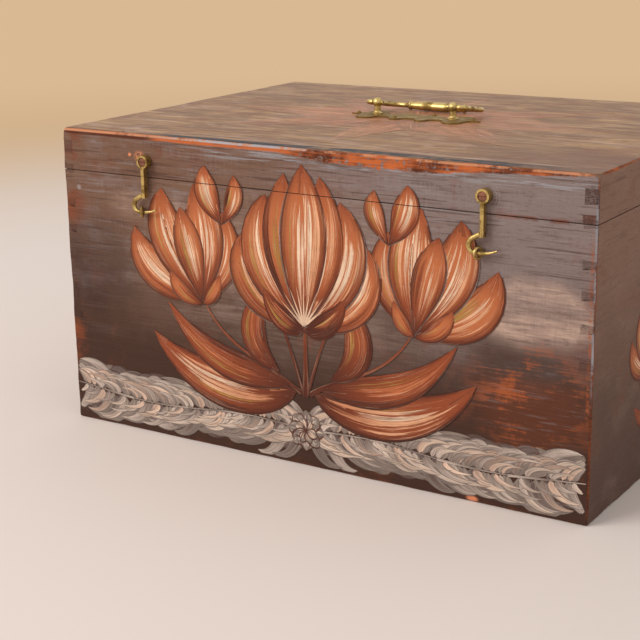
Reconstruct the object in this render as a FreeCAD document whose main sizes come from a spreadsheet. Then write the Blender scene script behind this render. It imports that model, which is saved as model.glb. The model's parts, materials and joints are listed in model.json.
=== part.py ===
import FreeCAD, Part

import math
import os
import re

import Sketcher  # noqa: F401
from FreeCAD import Placement, Rotation, Vector

# A dovetailed wooden carrying box with a sawn-off lid, two brass hooks in front and a bail handle on top.
# Millimetres. The origin is the centre of the base, +X runs along the front to the right, +Y to the back.
SIZES = {
    # carcass
    "box_width": 480.0,
    "box_depth": 355.0,
    "box_height": 256.0,
    "board_thickness": 11.0,
    "top_thickness": 10.0,
    "bottom_thickness": 11.5,
    "lid_height": 35.0,
    "saw_kerf": 0.6,
    "worn_corner": 2.2,
    "worn_foot": 1.2,
    # dovetails
    "pin_height": 5.4,
    "pin_flare": 1.1,
    "end_pin_height": 10.5,
    # nails
    "nail_radius": 1.1,
    "nail_head_radius": 2.6,
    "nail_head_height": 0.8,
    "nail_length": 32.0,
    "brad_radius": 0.8,
    "brad_head_radius": 1.3,
    "brad_head_height": 0.8,
    "brad_length": 18.0,
    # butt hinges
    "hinge_length": 50.0,
    "hinge_inset": 65.0,
    "leaf_thickness": 1.2,
    "leaf_depth": 9.0,
    "barrel_radius": 2.6,
    "barrel_offset": 3.0,
    "knuckle_gap": 0.3,
    "hinge_pin_radius": 1.0,
    "hinge_pin_head_radius": 1.7,
    "hinge_pin_head_height": 0.9,
    "running_clearance": 0.05,
    "hinge_screw_radius": 1.2,
    "hinge_screw_head_radius": 2.3,
    "hinge_screw_length": 14.0,
    "hinge_screw_spacing": 17.0,
    # hooks
    "left_hook_inset": 89.9,
    "right_hook_inset": 85.0,
    "hook_drop": 21.6,
    "hook_face_gap": 0.4,
    "hook_ring_radius": 5.4,
    "hook_ring_depth": 6.0,
    "hook_socket_radius": 3.7,
    "hook_socket_depth": 2.6,
    "hook_bar_width": 3.2,
    "hook_bar_depth": 5.2,
    "hook_bar_length": 29.5,
    "hook_bar_round": 0.5,
    "hook_wire_radius": 1.95,
    "hook_eye_wire_radius": 1.5,
    "hook_tip_radius": 0.6,
    "hook_reach": 41.3,
    "hook_bulge": 10.7,
    "hook_low_bend": 5.0,
    "hook_high_bend": 6.5,
    "hook_root_run": 7.0,
    "hook_tip_bend": 28.0,
    "hook_tip_start": 1.0,
    "hook_screw_radius": 1.7,
    "hook_screw_head_radius": 3.3,
    "hook_screw_head_height": 1.7,
    "hook_screw_grip": 8.5,
    "hook_slot_width": 0.8,
    "hook_slot_depth": 0.7,
    # screw eyes
    "eye_offset": 3.0,
    "eye_stand": 5.1,
    "eye_ring_radius": 3.9,
    "eye_wire_radius": 1.1,
    "eye_shank_depth": 7.0,
    "eye_point_length": 2.0,
    # bail handle
    "plate_length": 125.0,
    "plate_depth": 40.0,
    "plate_thickness": 1.3,
    "plate_pin_radius": 0.9,
    "plate_pin_head_radius": 1.8,
    "plate_pin_length": 8.0,
    "post_spacing": 73.0,
    "post_radius": 2.75,
    "post_foot_radius": 4.6,
    "post_foot_height": 1.2,
    "post_cove_height": 2.2,
    "post_ball_radius": 4.2,
    "post_pivot_height": 11.5,
    "stud_radius": 2.0,
    "stud_end": 1.5,
    "washer_radius": 6.0,
    "washer_thickness": 1.0,
    "nut_radius": 4.4,
    "nut_thickness": 3.2,
    "bail_pin_radius": 1.5,
    "bail_pin_end": 1.5,
    "bail_side_gap": 0.3,
    "bail_rest_gap": 0.3,
    "bail_wire_radius": 2.2,
    "bail_reach": 42.0,
    "bail_elbow_run": 1.0,
    "bail_elbow_bend": 5.0,
    "bail_corner_bend": 12.0,
    "grip_length": 56.0,
    "grip_radius": 4.0,
    "grip_end_radius": 3.0,
    "grip_bead_radius": 3.9,
    "grip_bead_width": 3.0,
}

# Angles in degrees.
ANGLES = {
    "hook_root_angle": 60.0,
    "hook_tip_angle": 27.0,
    "left_eye_angle": 33.0,
    "right_eye_angle": -20.0,
}

# Hand-cut pins, as shares of the carcass height, counted down from the top.
PIN_SHARES = (0.104, 0.228, 0.322, 0.424, 0.539, 0.645, 0.757, 0.858)

# Nails and brads, as shares of the half width and half depth of the box.
LONG_NAIL_SHARES = (-0.74, -0.25, 0.25, 0.74)
SHORT_NAIL_SHARES = (-0.5, 0.5)

# One quarter of the back plate's edge, from its point to its middle, as shares of the half length and
# the half depth. Each arc runs through its middle point to its end point.
PLATE_TIP_SHARES = (1.0, 0.0)
PLATE_ARC_SHARES = (
    ((0.87, 0.13), (0.80, 0.40)),
    ((0.66, 1.00), (0.52, 0.52)),
    ((0.40, 0.40), (0.29, 0.56)),
    ((0.20, 0.88), (0.11, 0.60)),
)
PLATE_MIDDLE_SHARES = (0.0, 0.48)
PLATE_PIN_SHARES = ((0.88, 0.0), (0.20, 0.62))

KNUCKLES = 5

doc = FreeCAD.newDocument("wooden_box")
sheet = doc.addObject("Spreadsheet::Sheet", "sizes")
for row, (alias, value) in enumerate({**SIZES, **ANGLES}.items(), start=1):
    sheet.set(f"A{row}", alias)
    sheet.set(f"B{row}", str(value))
    sheet.setAlias(f"B{row}", alias)
doc.recompute()


def size(name):
    """The value that the sheet holds for a size."""
    return float(getattr(sheet, name))


def in_sheet(text):
    """A sum in size names, as an expression on the sheet's cells."""
    return re.sub(r"[a-z][a-z_]*[a-z](?![\w(])", lambda word: f"sizes.{word.group()}", text)


def bind(item, **sums):
    """Ties properties to sums of sizes. x, y and z are the place."""
    for name, text in sums.items():
        prop = f"Placement.Base.{name}" if name in "xyz" else name
        item.setExpression(prop, in_sheet(text))
    return item


def solid(kind, name, turn=None, **sums):
    """A primitive with its sizes and place tied to the sheet."""
    item = doc.addObject(f"Part::{kind}", name)
    if turn:
        item.Placement = Placement(Vector(), turn)
    return bind(item, **sums)


def fuse(name, pieces):
    item = doc.addObject("Part::MultiFuse", name)
    item.Shapes = pieces
    item.Refine = True
    return item


def cut(name, base, tools):
    """The base without the tools."""
    for number, tool in enumerate(tools, start=1):
        last = number == len(tools)
        item = doc.addObject("Part::Cut", name if last else f"{name}_step_{number}")
        item.Base = base
        item.Tool = tool
        item.Refine = True
        base = item
    return base


def common(name, base, tool):
    item = doc.addObject("Part::Common", name)
    item.Base = base
    item.Tool = tool
    item.Refine = True
    return item


def group(name, pieces):
    """Separate solids that share one node."""
    item = doc.addObject("Part::Compound", name)
    item.Links = pieces
    return item


def plane_of(body, role):
    """One of a body's own origin planes or axes."""
    return next(feature for feature in body.Origin.OriginFeatures if feature.Role == role)


def sketch_on(body, role, name, edges):
    """A sketch on one of the body's origin planes, holding the edges."""
    sketch = body.newObject("Sketcher::SketchObject", name)
    sketch.AttachmentSupport = [(plane_of(body, role), "")]
    sketch.MapMode = "FlatFace"
    for edge in edges:
        sketch.addGeometry(edge, False)
    return sketch


TURN_TO_X = Rotation(Vector(0, 1, 0), 90)
TURN_TO_MINUS_X = Rotation(Vector(0, 1, 0), -90)
TURN_TO_Y = Rotation(Vector(1, 0, 0), -90)
TURN_TO_MINUS_Y = Rotation(Vector(1, 0, 0), 90)
UPSIDE_DOWN = Rotation(Vector(1, 0, 0), 180)

FRONT = "-box_depth / 2"
BACK = "box_depth / 2"
SEAM = "(box_height - lid_height)"
RIM = f"({SEAM} - saw_kerf / 2)"
LID_RIM = f"({SEAM} + saw_kerf / 2)"
CARCASS = "(box_height - top_thickness - bottom_thickness)"
CARCASS_TOP = "(box_height - top_thickness)"
SIDES = {"left": -1, "right": 1}


def from_end(side, inset):
    """A place along X that far in from one end of the box, in size names."""
    return f"({SIDES[side]} * (box_width / 2 - ({inset})))"


def eased_block():
    """The whole box as one block with its outer edges worn round."""
    body = doc.addObject("PartDesign::Body", "worn_block")
    block = body.newObject("PartDesign::AdditiveBox", "block")
    bind(block, Length="box_width", Width="box_depth", Height="box_height")
    doc.recompute()

    def edges_of(item, at_foot):
        """The edges on the base, or all the others."""
        return [
            f"Edge{number}"
            for number, edge in enumerate(item.Shape.Edges, start=1)
            if at_foot == all(abs(vertex.Z) < size("worn_foot") / 2 for vertex in edge.Vertexes)
        ]

    corners = body.newObject("PartDesign::Fillet", "worn_corners")
    corners.Base = (block, edges_of(block, False))
    bind(corners, Radius="worn_corner")
    doc.recompute()
    foot = body.newObject("PartDesign::Fillet", "worn_base")
    foot.Base = (corners, edges_of(corners, True))
    bind(foot, Radius="worn_foot")
    body.Tip = foot
    bind(body, x="-box_width / 2", y=FRONT)
    return body


def slab(name, low, high):
    """A layer of the worn block between two heights."""
    layer = solid(
        "Box",
        f"{name}_layer",
        Length="box_width",
        Width="box_depth",
        Height=f"{high} - {low}",
        x="-box_width / 2",
        y=FRONT,
        z=low,
    )
    return common(name, block, layer)


def dovetail_pins(side):
    """The pins of one side board, as wedges that run from the front to the back."""
    sign = SIDES[side]
    turn = Rotation(Vector(0, 0, 1), -90 * sign)
    place = "box_width / 2 - board_thickness"
    shapes = [("bottom_thickness", "0", "end_pin_height"), (CARCASS_TOP, "-end_pin_height", "0")]
    for share in PIN_SHARES:
        shapes.append((f"{CARCASS_TOP} - {CARCASS} * {share}", "-pin_height / 2", "pin_height / 2"))
    pins = []
    for number, (height, low, high) in enumerate(shapes):
        low_flare = "" if low == "0" else " - pin_flare"
        high_flare = "" if high == "0" else " + pin_flare"
        pins.append(
            solid(
                "Wedge",
                f"{side}_pin_{number}",
                turn,
                Xmin="-box_depth / 2",
                Xmax="box_depth / 2",
                X2min="-box_depth / 2",
                X2max="box_depth / 2",
                Ymax="board_thickness",
                Zmin=low + low_flare,
                Zmax=high + high_flare,
                Z2min=low,
                Z2max=high,
                x=place if sign > 0 else f"-({place})",
                z=height,
            )
        )
        pins[-1].Ymin = 0
    return pins


def carcass_panels():
    """The four walls, joined at full height before the lid is sawn off."""
    pins = {side: dovetail_pins(side) for side in SIDES}
    every_pin = fuse("every_pin", pins["left"] + pins["right"])
    panels = {}
    for name, place in (("front", FRONT), ("back", f"{BACK} - board_thickness")):
        blank = solid(
            "Box",
            f"{name}_blank",
            Length="box_width",
            Width="board_thickness",
            Height=CARCASS,
            x="-box_width / 2",
            y=place,
            z="bottom_thickness",
        )
        panels[name] = cut(f"{name}_panel", blank, [every_pin])
    for side, sign in SIDES.items():
        blank = solid(
            "Box",
            f"{side}_blank",
            Length="board_thickness",
            Width="box_depth - 2 * board_thickness",
            Height=CARCASS,
            x="box_width / 2 - board_thickness" if sign > 0 else "-box_width / 2",
            y=f"{FRONT} + board_thickness",
            z="bottom_thickness",
        )
        panels[side] = fuse(f"{side}_panel", [blank] + pins[side])
    return panels


def nail_places():
    """Places round the rim of the box, over the middle of each wall."""
    inset = "board_thickness / 2"
    places = []
    for share in LONG_NAIL_SHARES:
        for sign in ("-", ""):
            places.append((f"box_width / 2 * {share}", f"{sign}(box_depth / 2 - {inset})"))
    for share in SHORT_NAIL_SHARES:
        for sign in ("-", ""):
            places.append((f"{sign}(box_width / 2 - {inset})", f"box_depth / 2 * {share}"))
    return places


def nails(name, kind, turn, height):
    """Nails of one kind, each a shank under a flat head that is flush with the wood."""
    made = []
    for number, (x, y) in enumerate(nail_places(), start=1):
        shank = solid(
            "Cylinder",
            f"{name}_shank_{number}",
            turn,
            Radius=f"{kind}_radius",
            Height=f"{kind}_length",
            x=x,
            y=y,
            z=height,
        )
        head = solid(
            "Cylinder",
            f"{name}_head_{number}",
            turn,
            Radius=f"{kind}_head_radius",
            Height=f"{kind}_head_height",
            x=x,
            y=y,
            z=height,
        )
        made.append(fuse(f"{name}_{number}", [shank, head]))
    return group(name, made)


def knuckle_span(number):
    """The start of one knuckle, from the hinge's left end, and a knuckle's length."""
    pitch = f"(hinge_length / {KNUCKLES})"
    return f"{pitch} * {number}", pitch


def barrel(name, centre, radius, numbers, gap):
    """Cylinders on the hinge's axis, over the given knuckles, shorter or longer by the gap."""
    made = []
    for number in numbers:
        start, pitch = knuckle_span(number)
        made.append(
            solid(
                "Cylinder",
                f"{name}_{number}",
                TURN_TO_X,
                Radius=radius,
                Height=f"{pitch} - ({gap})",
                x=f"{centre} - hinge_length / 2 + {start} + ({gap}) / 2",
                y=f"{BACK} + barrel_offset",
                z=SEAM,
            )
        )
    return made


def hinge_screws(name, centre, turn, height):
    """Three countersunk screws through one leaf."""
    made = []
    for number in (-1, 0, 1):
        place = {
            "x": f"{centre} + hinge_screw_spacing * {number}",
            "y": f"{BACK} - leaf_depth / 2",
            "z": height,
        }
        head = solid(
            "Cone",
            f"{name}_head_{number + 2}",
            turn,
            Radius1="hinge_screw_head_radius",
            Radius2="hinge_screw_radius",
            Height="leaf_thickness",
            **place,
        )
        shank = solid(
            "Cylinder",
            f"{name}_shank_{number + 2}",
            turn,
            Radius="hinge_screw_radius",
            Height="hinge_screw_length",
            **place,
        )
        made.append(fuse(f"{name}_{number + 2}", [head, shank]))
    return made


def hinge_leaf(name, centre, own, others, low, screws):
    """One leaf, let into the wood's edge, with its knuckles round the pin."""
    plate = solid(
        "Box",
        f"{name}_plate",
        Length="hinge_length - knuckle_gap",
        Width="leaf_depth + barrel_offset",
        Height="leaf_thickness",
        x=f"{centre} - (hinge_length - knuckle_gap) / 2",
        y=f"{BACK} - leaf_depth",
        z=low,
    )
    room = barrel(f"{name}_room", centre, "barrel_radius + knuckle_gap", others, "-knuckle_gap")
    knuckles = barrel(f"{name}_knuckle", centre, "barrel_radius", own, "knuckle_gap")
    notched = cut(f"{name}_notched", plate, room)
    bore = solid(
        "Cylinder",
        f"{name}_bore",
        TURN_TO_X,
        Radius="hinge_pin_radius + running_clearance",
        Height="hinge_length * 2",
        x=f"{centre} - hinge_length",
        y=f"{BACK} + barrel_offset",
        z=SEAM,
    )
    return cut(name, fuse(f"{name}_rolled", [notched] + knuckles), [bore] + screws)


def hinge(side):
    """A butt hinge: two leaves, their pin and six screws."""
    centre = from_end(side, "hinge_inset + hinge_length / 2")
    box_screws = hinge_screws(f"{side}_box_screw", centre, UPSIDE_DOWN, RIM)
    lid_screws = hinge_screws(f"{side}_lid_screw", centre, None, LID_RIM)
    hinge_leaf(
        f"hinge_{side}_box_leaf", centre, (0, 2, 4), (1, 3), f"{RIM} - leaf_thickness", box_screws
    )
    hinge_leaf(f"hinge_{side}_lid_leaf", centre, (1, 3), (0, 2, 4), LID_RIM, lid_screws)
    place = {"y": f"{BACK} + barrel_offset", "z": SEAM}
    end = "(hinge_length / 2 - knuckle_gap / 2)"
    shank = solid(
        "Cylinder",
        f"{side}_pin_shank",
        TURN_TO_X,
        Radius="hinge_pin_radius",
        Height=f"{end} * 2",
        x=f"{centre} - {end}",
        **place,
    )
    heads = [
        solid(
            "Cylinder",
            f"{side}_pin_head_{number}",
            TURN_TO_X,
            Radius="hinge_pin_head_radius",
            Height="hinge_pin_head_height",
            x=x,
            **place,
        )
        for number, x in enumerate(
            (f"{centre} + {end}", f"{centre} - {end} - hinge_pin_head_height"), start=1
        )
    ]
    fuse(f"hinge_{side}_pin", [shank] + heads)
    mortises = [
        solid(
            "Box",
            f"{side}_mortise_{number}",
            Length="hinge_length - knuckle_gap",
            Width="leaf_depth",
            Height="leaf_thickness",
            x=f"{centre} - (hinge_length - knuckle_gap) / 2",
            y=f"{BACK} - leaf_depth",
            z=low,
        )
        for number, low in enumerate((f"{RIM} - leaf_thickness", LID_RIM), start=1)
    ]
    return box_screws, lid_screws, mortises


def hook_place(side):
    """The hook's pivot along X, in size names."""
    return from_end(side, f"{side}_hook_inset")


def hook_wire(name, pivot):
    """The round wire: out of the bar, round a bulge, through the eye and up to its point."""
    reach, bulge = size("hook_reach"), size("hook_bulge")
    low, high, tip_bend = size("hook_low_bend"), size("hook_high_bend"), size("hook_tip_bend")
    thick, thin = size("hook_wire_radius"), size("hook_eye_wire_radius")
    turn, tip_turn = size("hook_root_angle"), size("hook_tip_angle")

    def on_bend(centre, radius, degrees):
        angle = math.radians(degrees)
        return centre + Vector(radius * math.cos(angle), 0, radius * math.sin(angle))

    def run(start, end):
        return Part.LineSegment(start, end).toShape()

    def bend(centre, radius, start, end):
        angles = (start, (start + end) / 2, end)
        return Part.Arc(*(on_bend(centre, radius, angle) for angle in angles)).toShape()

    def section(label, point, heading, radius):
        """A round section square to the wire, whose heading is in degrees above +X."""
        circle = doc.addObject("Part::Circle", f"{name}_{label}")
        circle.Radius = radius
        circle.Placement = Placement(point, Rotation(Vector(0, 1, 0), 90 - heading))
        return circle

    side = pivot + Vector(-bulge, 0, low - reach)
    upper, lower = side + Vector(high, 0, 0), side + Vector(low, 0, 0)
    neck = on_bend(upper, high, 180 - turn)
    up_the_bar = Vector(math.sin(math.radians(turn)), 0, math.cos(math.radians(turn)))
    root = neck + up_the_bar * size("hook_root_run")
    bottom = on_bend(lower, low, 270)
    tip_start = pivot + Vector(-size("hook_tip_start"), 0, -reach)
    tip_centre = tip_start + Vector(0, 0, tip_bend)
    point = on_bend(tip_centre, tip_bend, 270 + tip_turn)

    route = doc.addObject("Part::Feature", f"{name}_route")
    route.Shape = Part.Wire(
        [
            run(root, neck),
            bend(upper, high, 180 - turn, 180),
            bend(lower, low, 180, 270),
            run(bottom, tip_start),
            bend(tip_centre, tip_bend, 270, 270 + tip_turn),
        ]
    )
    at_root = section("at_root", root, -90 - turn, thick)
    at_side = section("at_side", side, -90, thick)
    at_eye = section("at_eye", tip_start, 0, thin)
    at_point = section("at_point", point, tip_turn, size("hook_tip_radius"))
    stretches = [
        ("root", [at_root], (1, 2)),
        ("bulge", [at_side, at_eye], (3, 4)),
        ("tip", [at_eye, at_point], (5,)),
    ]
    swept = []
    for label, sections, edges in stretches:
        sweep = doc.addObject("Part::Sweep", f"{name}_{label}_sweep")
        sweep.Sections = sections
        sweep.Spine = (route, [f"Edge{number}" for number in edges])
        sweep.Solid = True
        sweep.Frenet = True
        swept.append(sweep)
    return swept


def hook(side):
    """A hook: a deep ring on its screw, a square bar and a round wire that goes through the eye."""
    x = hook_place(side)
    z = "box_height - hook_drop"
    name = f"hook_{side}"
    ring = solid(
        "Cylinder",
        f"{name}_ring",
        TURN_TO_MINUS_Y,
        Radius="hook_ring_radius",
        Height="hook_ring_depth",
        x=x,
        y=f"{FRONT} - hook_face_gap",
        z=z,
    )
    bar = solid(
        "Box",
        f"{name}_bar",
        Length="hook_bar_width",
        Width="hook_bar_depth",
        Height="hook_bar_length - (hook_ring_radius + hook_socket_radius) / 2",
        x=f"{x} - hook_bar_width / 2",
        y=f"{FRONT} - eye_stand - hook_bar_depth / 2 + hook_bar_round * 2",
        z=f"{z} - hook_bar_length",
    )
    doc.recompute()
    rounded = doc.addObject("Part::Fillet", f"{name}_rounded_bar")
    rounded.Base = bar
    rounded.Edges = [
        (number, size("hook_bar_round"), size("hook_bar_round"))
        for number, edge in enumerate(bar.Shape.Edges, start=1)
        if abs(edge.tangentAt(edge.FirstParameter).z) > 0.5
    ]
    pivot = Vector(
        (size("box_width") / 2 - size(f"{side}_hook_inset")) * SIDES[side],
        -size("box_depth") / 2 - size("eye_stand"),
        size("box_height") - size("hook_drop"),
    )
    socket = solid(
        "Cylinder",
        f"{name}_socket",
        TURN_TO_Y,
        Radius="hook_socket_radius",
        Height="hook_socket_depth * 2",
        x=x,
        y=f"{FRONT} - hook_face_gap - hook_ring_depth - hook_socket_depth",
        z=z,
    )
    bore = solid(
        "Cylinder",
        f"{name}_bore",
        TURN_TO_MINUS_Y,
        Radius="hook_screw_radius + running_clearance",
        Height="hook_ring_depth * 2",
        x=x,
        y=FRONT,
        z=z,
    )
    forged = fuse(f"{name}_forged", [ring, rounded] + hook_wire(name, pivot))
    cut(name, forged, [socket, bore])


def hook_screw(side):
    """The slotted screw that the hook turns on."""
    x = hook_place(side)
    z = "box_height - hook_drop"
    name = f"hook_{side}_screw"
    seat = "(hook_face_gap + hook_ring_depth - hook_socket_depth + hook_face_gap)"
    shank = solid(
        "Cylinder",
        f"{name}_shank",
        TURN_TO_Y,
        Radius="hook_screw_radius",
        Height=f"hook_screw_grip + {seat}",
        x=x,
        y=f"{FRONT} - {seat}",
        z=z,
    )
    head = solid(
        "Cylinder",
        f"{name}_head",
        TURN_TO_MINUS_Y,
        Radius="hook_screw_head_radius",
        Height="hook_screw_head_height",
        x=x,
        y=f"{FRONT} - {seat}",
        z=z,
    )
    slot = solid(
        "Box",
        f"{name}_slot",
        Length="hook_screw_head_radius * 2",
        Width="hook_slot_depth",
        Height="hook_slot_width",
        x=f"{x} - hook_screw_head_radius",
        y=f"{FRONT} - {seat} - hook_screw_head_height",
        z=f"{z} - hook_slot_width / 2",
    )
    return cut(name, fuse(f"{name}_turned", [shank, head]), [slot])


def screw_eye(side):
    """The eye that the hook drops into. Its neck leans over, and its shank is in the front board."""
    x = f"({hook_place(side)} - eye_offset)"
    z = "box_height - hook_drop - hook_reach"
    name = f"hook_{side}_eye"
    lean = f"{side}_eye_angle"
    foot = f"{x} - eye_stand * tan({lean})"
    turn = Rotation(Vector(0, 0, 1), size(lean))
    ring = solid(
        "Torus",
        f"{name}_ring",
        turn.multiply(TURN_TO_X),
        Radius1="eye_ring_radius",
        Radius2="eye_wire_radius",
        x=x,
        y=f"{FRONT} - eye_stand",
        z=z,
    )
    neck = solid(
        "Cylinder",
        f"{name}_neck",
        turn.multiply(TURN_TO_MINUS_Y),
        Radius="eye_wire_radius",
        Height=f"eye_stand / cos({lean}) - eye_ring_radius",
        x=foot,
        y=FRONT,
        z=z,
    )
    shoulder = solid("Sphere", f"{name}_shoulder", Radius="eye_wire_radius", x=foot, y=FRONT, z=z)
    shank = solid(
        "Cylinder",
        f"{name}_shank",
        TURN_TO_Y,
        Radius="eye_wire_radius",
        Height="eye_shank_depth",
        x=foot,
        y=FRONT,
        z=z,
    )
    point = solid(
        "Cone",
        f"{name}_point",
        TURN_TO_Y,
        Radius1="eye_wire_radius",
        Radius2="eye_wire_radius / 4",
        Height="eye_point_length",
        x=foot,
        y=f"{FRONT} + eye_shank_depth",
        z=z,
    )
    return fuse(name, [ring, neck, shoulder, shank, point])


def handle_plate(studs, pins):
    """The scalloped brass plate under the bail's posts."""
    half_length, half_depth = size("plate_length") / 2, size("plate_depth") / 2

    def spot(shares, flip_x=1, flip_y=1):
        return Vector(shares[0] * half_length * flip_x, shares[1] * half_depth * flip_y, 0)

    edges = []
    for flip_x in (1, -1):
        for flip_y in (1, -1):
            start = spot(PLATE_TIP_SHARES, flip_x, flip_y)
            for middle, end in PLATE_ARC_SHARES:
                stop = spot(end, flip_x, flip_y)
                edges.append(Part.Arc(start, spot(middle, flip_x, flip_y), stop))
                start = stop
    last = PLATE_ARC_SHARES[-1][1]
    for flip_y in (1, -1):
        edges.append(
            Part.Arc(
                spot(last, 1, flip_y), spot(PLATE_MIDDLE_SHARES, 1, flip_y), spot(last, -1, flip_y)
            )
        )
    body = doc.addObject("PartDesign::Body", "handle_plate_blank")
    outline = sketch_on(body, "XY_Plane", "plate_outline", edges)
    pad = body.newObject("PartDesign::Pad", "plate_pad")
    pad.Profile = outline
    bind(pad, Length="plate_thickness")
    bind(body, z="box_height")
    cut("handle_plate", body, [studs, pins])


def handle_post(side):
    """A turned post with a ball that the bail pivots in, and a stud through the lid."""
    name = f"handle_{side}_post"
    foot_low = size("plate_thickness")
    foot_high = foot_low + size("post_foot_height")
    cove_high = foot_high + size("post_cove_height")
    pivot = size("post_pivot_height")
    ball, stem, stud = size("post_ball_radius"), size("post_radius"), size("stud_radius")
    foot = size("post_foot_radius")
    ball_low = pivot - math.sqrt(ball**2 - stem**2)
    below = -(
        size("top_thickness") + size("washer_thickness") + size("nut_thickness") + size("stud_end")
    )

    def line(start, end):
        return Part.LineSegment(Vector(*start, 0), Vector(*end, 0))

    bend = (foot - stem) * (1 - math.sqrt(0.5))
    rise = (cove_high - foot_high) * (1 - math.sqrt(0.5))
    edges = [
        line((0, pivot + ball), (0, below)),
        line((0, below), (stud, below)),
        line((stud, below), (stud, foot_low)),
        line((stud, foot_low), (foot, foot_low)),
        line((foot, foot_low), (foot, foot_high)),
        Part.Arc(
            Vector(foot, foot_high, 0),
            Vector(stem + bend, foot_high + rise, 0),
            Vector(stem, cove_high, 0),
        ),
        line((stem, cove_high), (stem, ball_low)),
        Part.Arc(Vector(stem, ball_low, 0), Vector(ball, pivot, 0), Vector(0, pivot + ball, 0)),
    ]
    body = doc.addObject("PartDesign::Body", f"{name}_turned")
    profile = sketch_on(body, "XZ_Plane", f"{name}_profile", edges)
    spin = body.newObject("PartDesign::Revolution", f"{name}_spin")
    spin.Profile = profile
    spin.ReferenceAxis = (profile, ["V_Axis"])
    spin.Angle = 360
    x = f"{'-' if side == 'left' else ''}post_spacing / 2"
    bind(body, x=x, z="box_height")
    bore = solid(
        "Cylinder",
        f"{name}_bore",
        TURN_TO_X,
        Radius="bail_pin_radius + running_clearance",
        Height="post_ball_radius * 4",
        x=f"{x} - post_ball_radius * 2",
        z="box_height + post_pivot_height",
    )
    return cut(name, body, [bore])


def stud_fittings():
    """Washers and nuts on the posts' studs inside the lid, and the studs' own room."""
    studs, washers, nuts = [], [], []
    underside = "(box_height - top_thickness)"
    for side, sign in (("left", "-"), ("right", "")):
        x = f"{sign}post_spacing / 2"
        studs.append(
            solid(
                "Cylinder",
                f"{side}_stud_room",
                UPSIDE_DOWN,
                Radius="stud_radius",
                Height="top_thickness * 4",
                x=x,
                z="box_height + top_thickness",
            )
        )
        washers.append(
            solid(
                "Cylinder",
                f"{side}_washer_blank",
                UPSIDE_DOWN,
                Radius="washer_radius",
                Height="washer_thickness",
                x=x,
                z=underside,
            )
        )
        nut = solid(
            "Prism",
            f"{side}_nut_blank",
            UPSIDE_DOWN,
            Circumradius="nut_radius",
            Height="nut_thickness",
            x=x,
            z=f"{underside} - washer_thickness",
        )
        nut.Polygon = 6
        nuts.append(nut)
    room = group("stud_room", studs)
    cut("handle_post_washers", group("washer_blanks", washers), [room])
    cut("handle_post_nuts", group("nut_blanks", nuts), [room])
    return room


def plate_pins():
    """Round-headed pins that hold the plate down at its points and lobes."""
    made = []
    for number, (along, across) in enumerate(PLATE_PIN_SHARES, start=1):
        for flip_x in ("-", ""):
            flip_y = flip_x if across else ""
            place = {
                "x": f"{flip_x}plate_length / 2 * {along}",
                "y": f"{flip_y}plate_depth / 2 * {across}",
            }
            label = f"plate_pin_{number}_{'left' if flip_x else 'right'}"
            shank = solid(
                "Cylinder",
                f"{label}_shank",
                UPSIDE_DOWN,
                Radius="plate_pin_radius",
                Height="plate_pin_length",
                z="box_height + plate_thickness",
                **place,
            )
            dome = solid(
                "Sphere",
                f"{label}_dome",
                Radius="plate_pin_head_radius",
                z="box_height + plate_thickness",
                **place,
            )
            dome.Angle1 = 0
            made.append(fuse(label, [shank, dome]))
    return group("handle_plate_pins", made)


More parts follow.
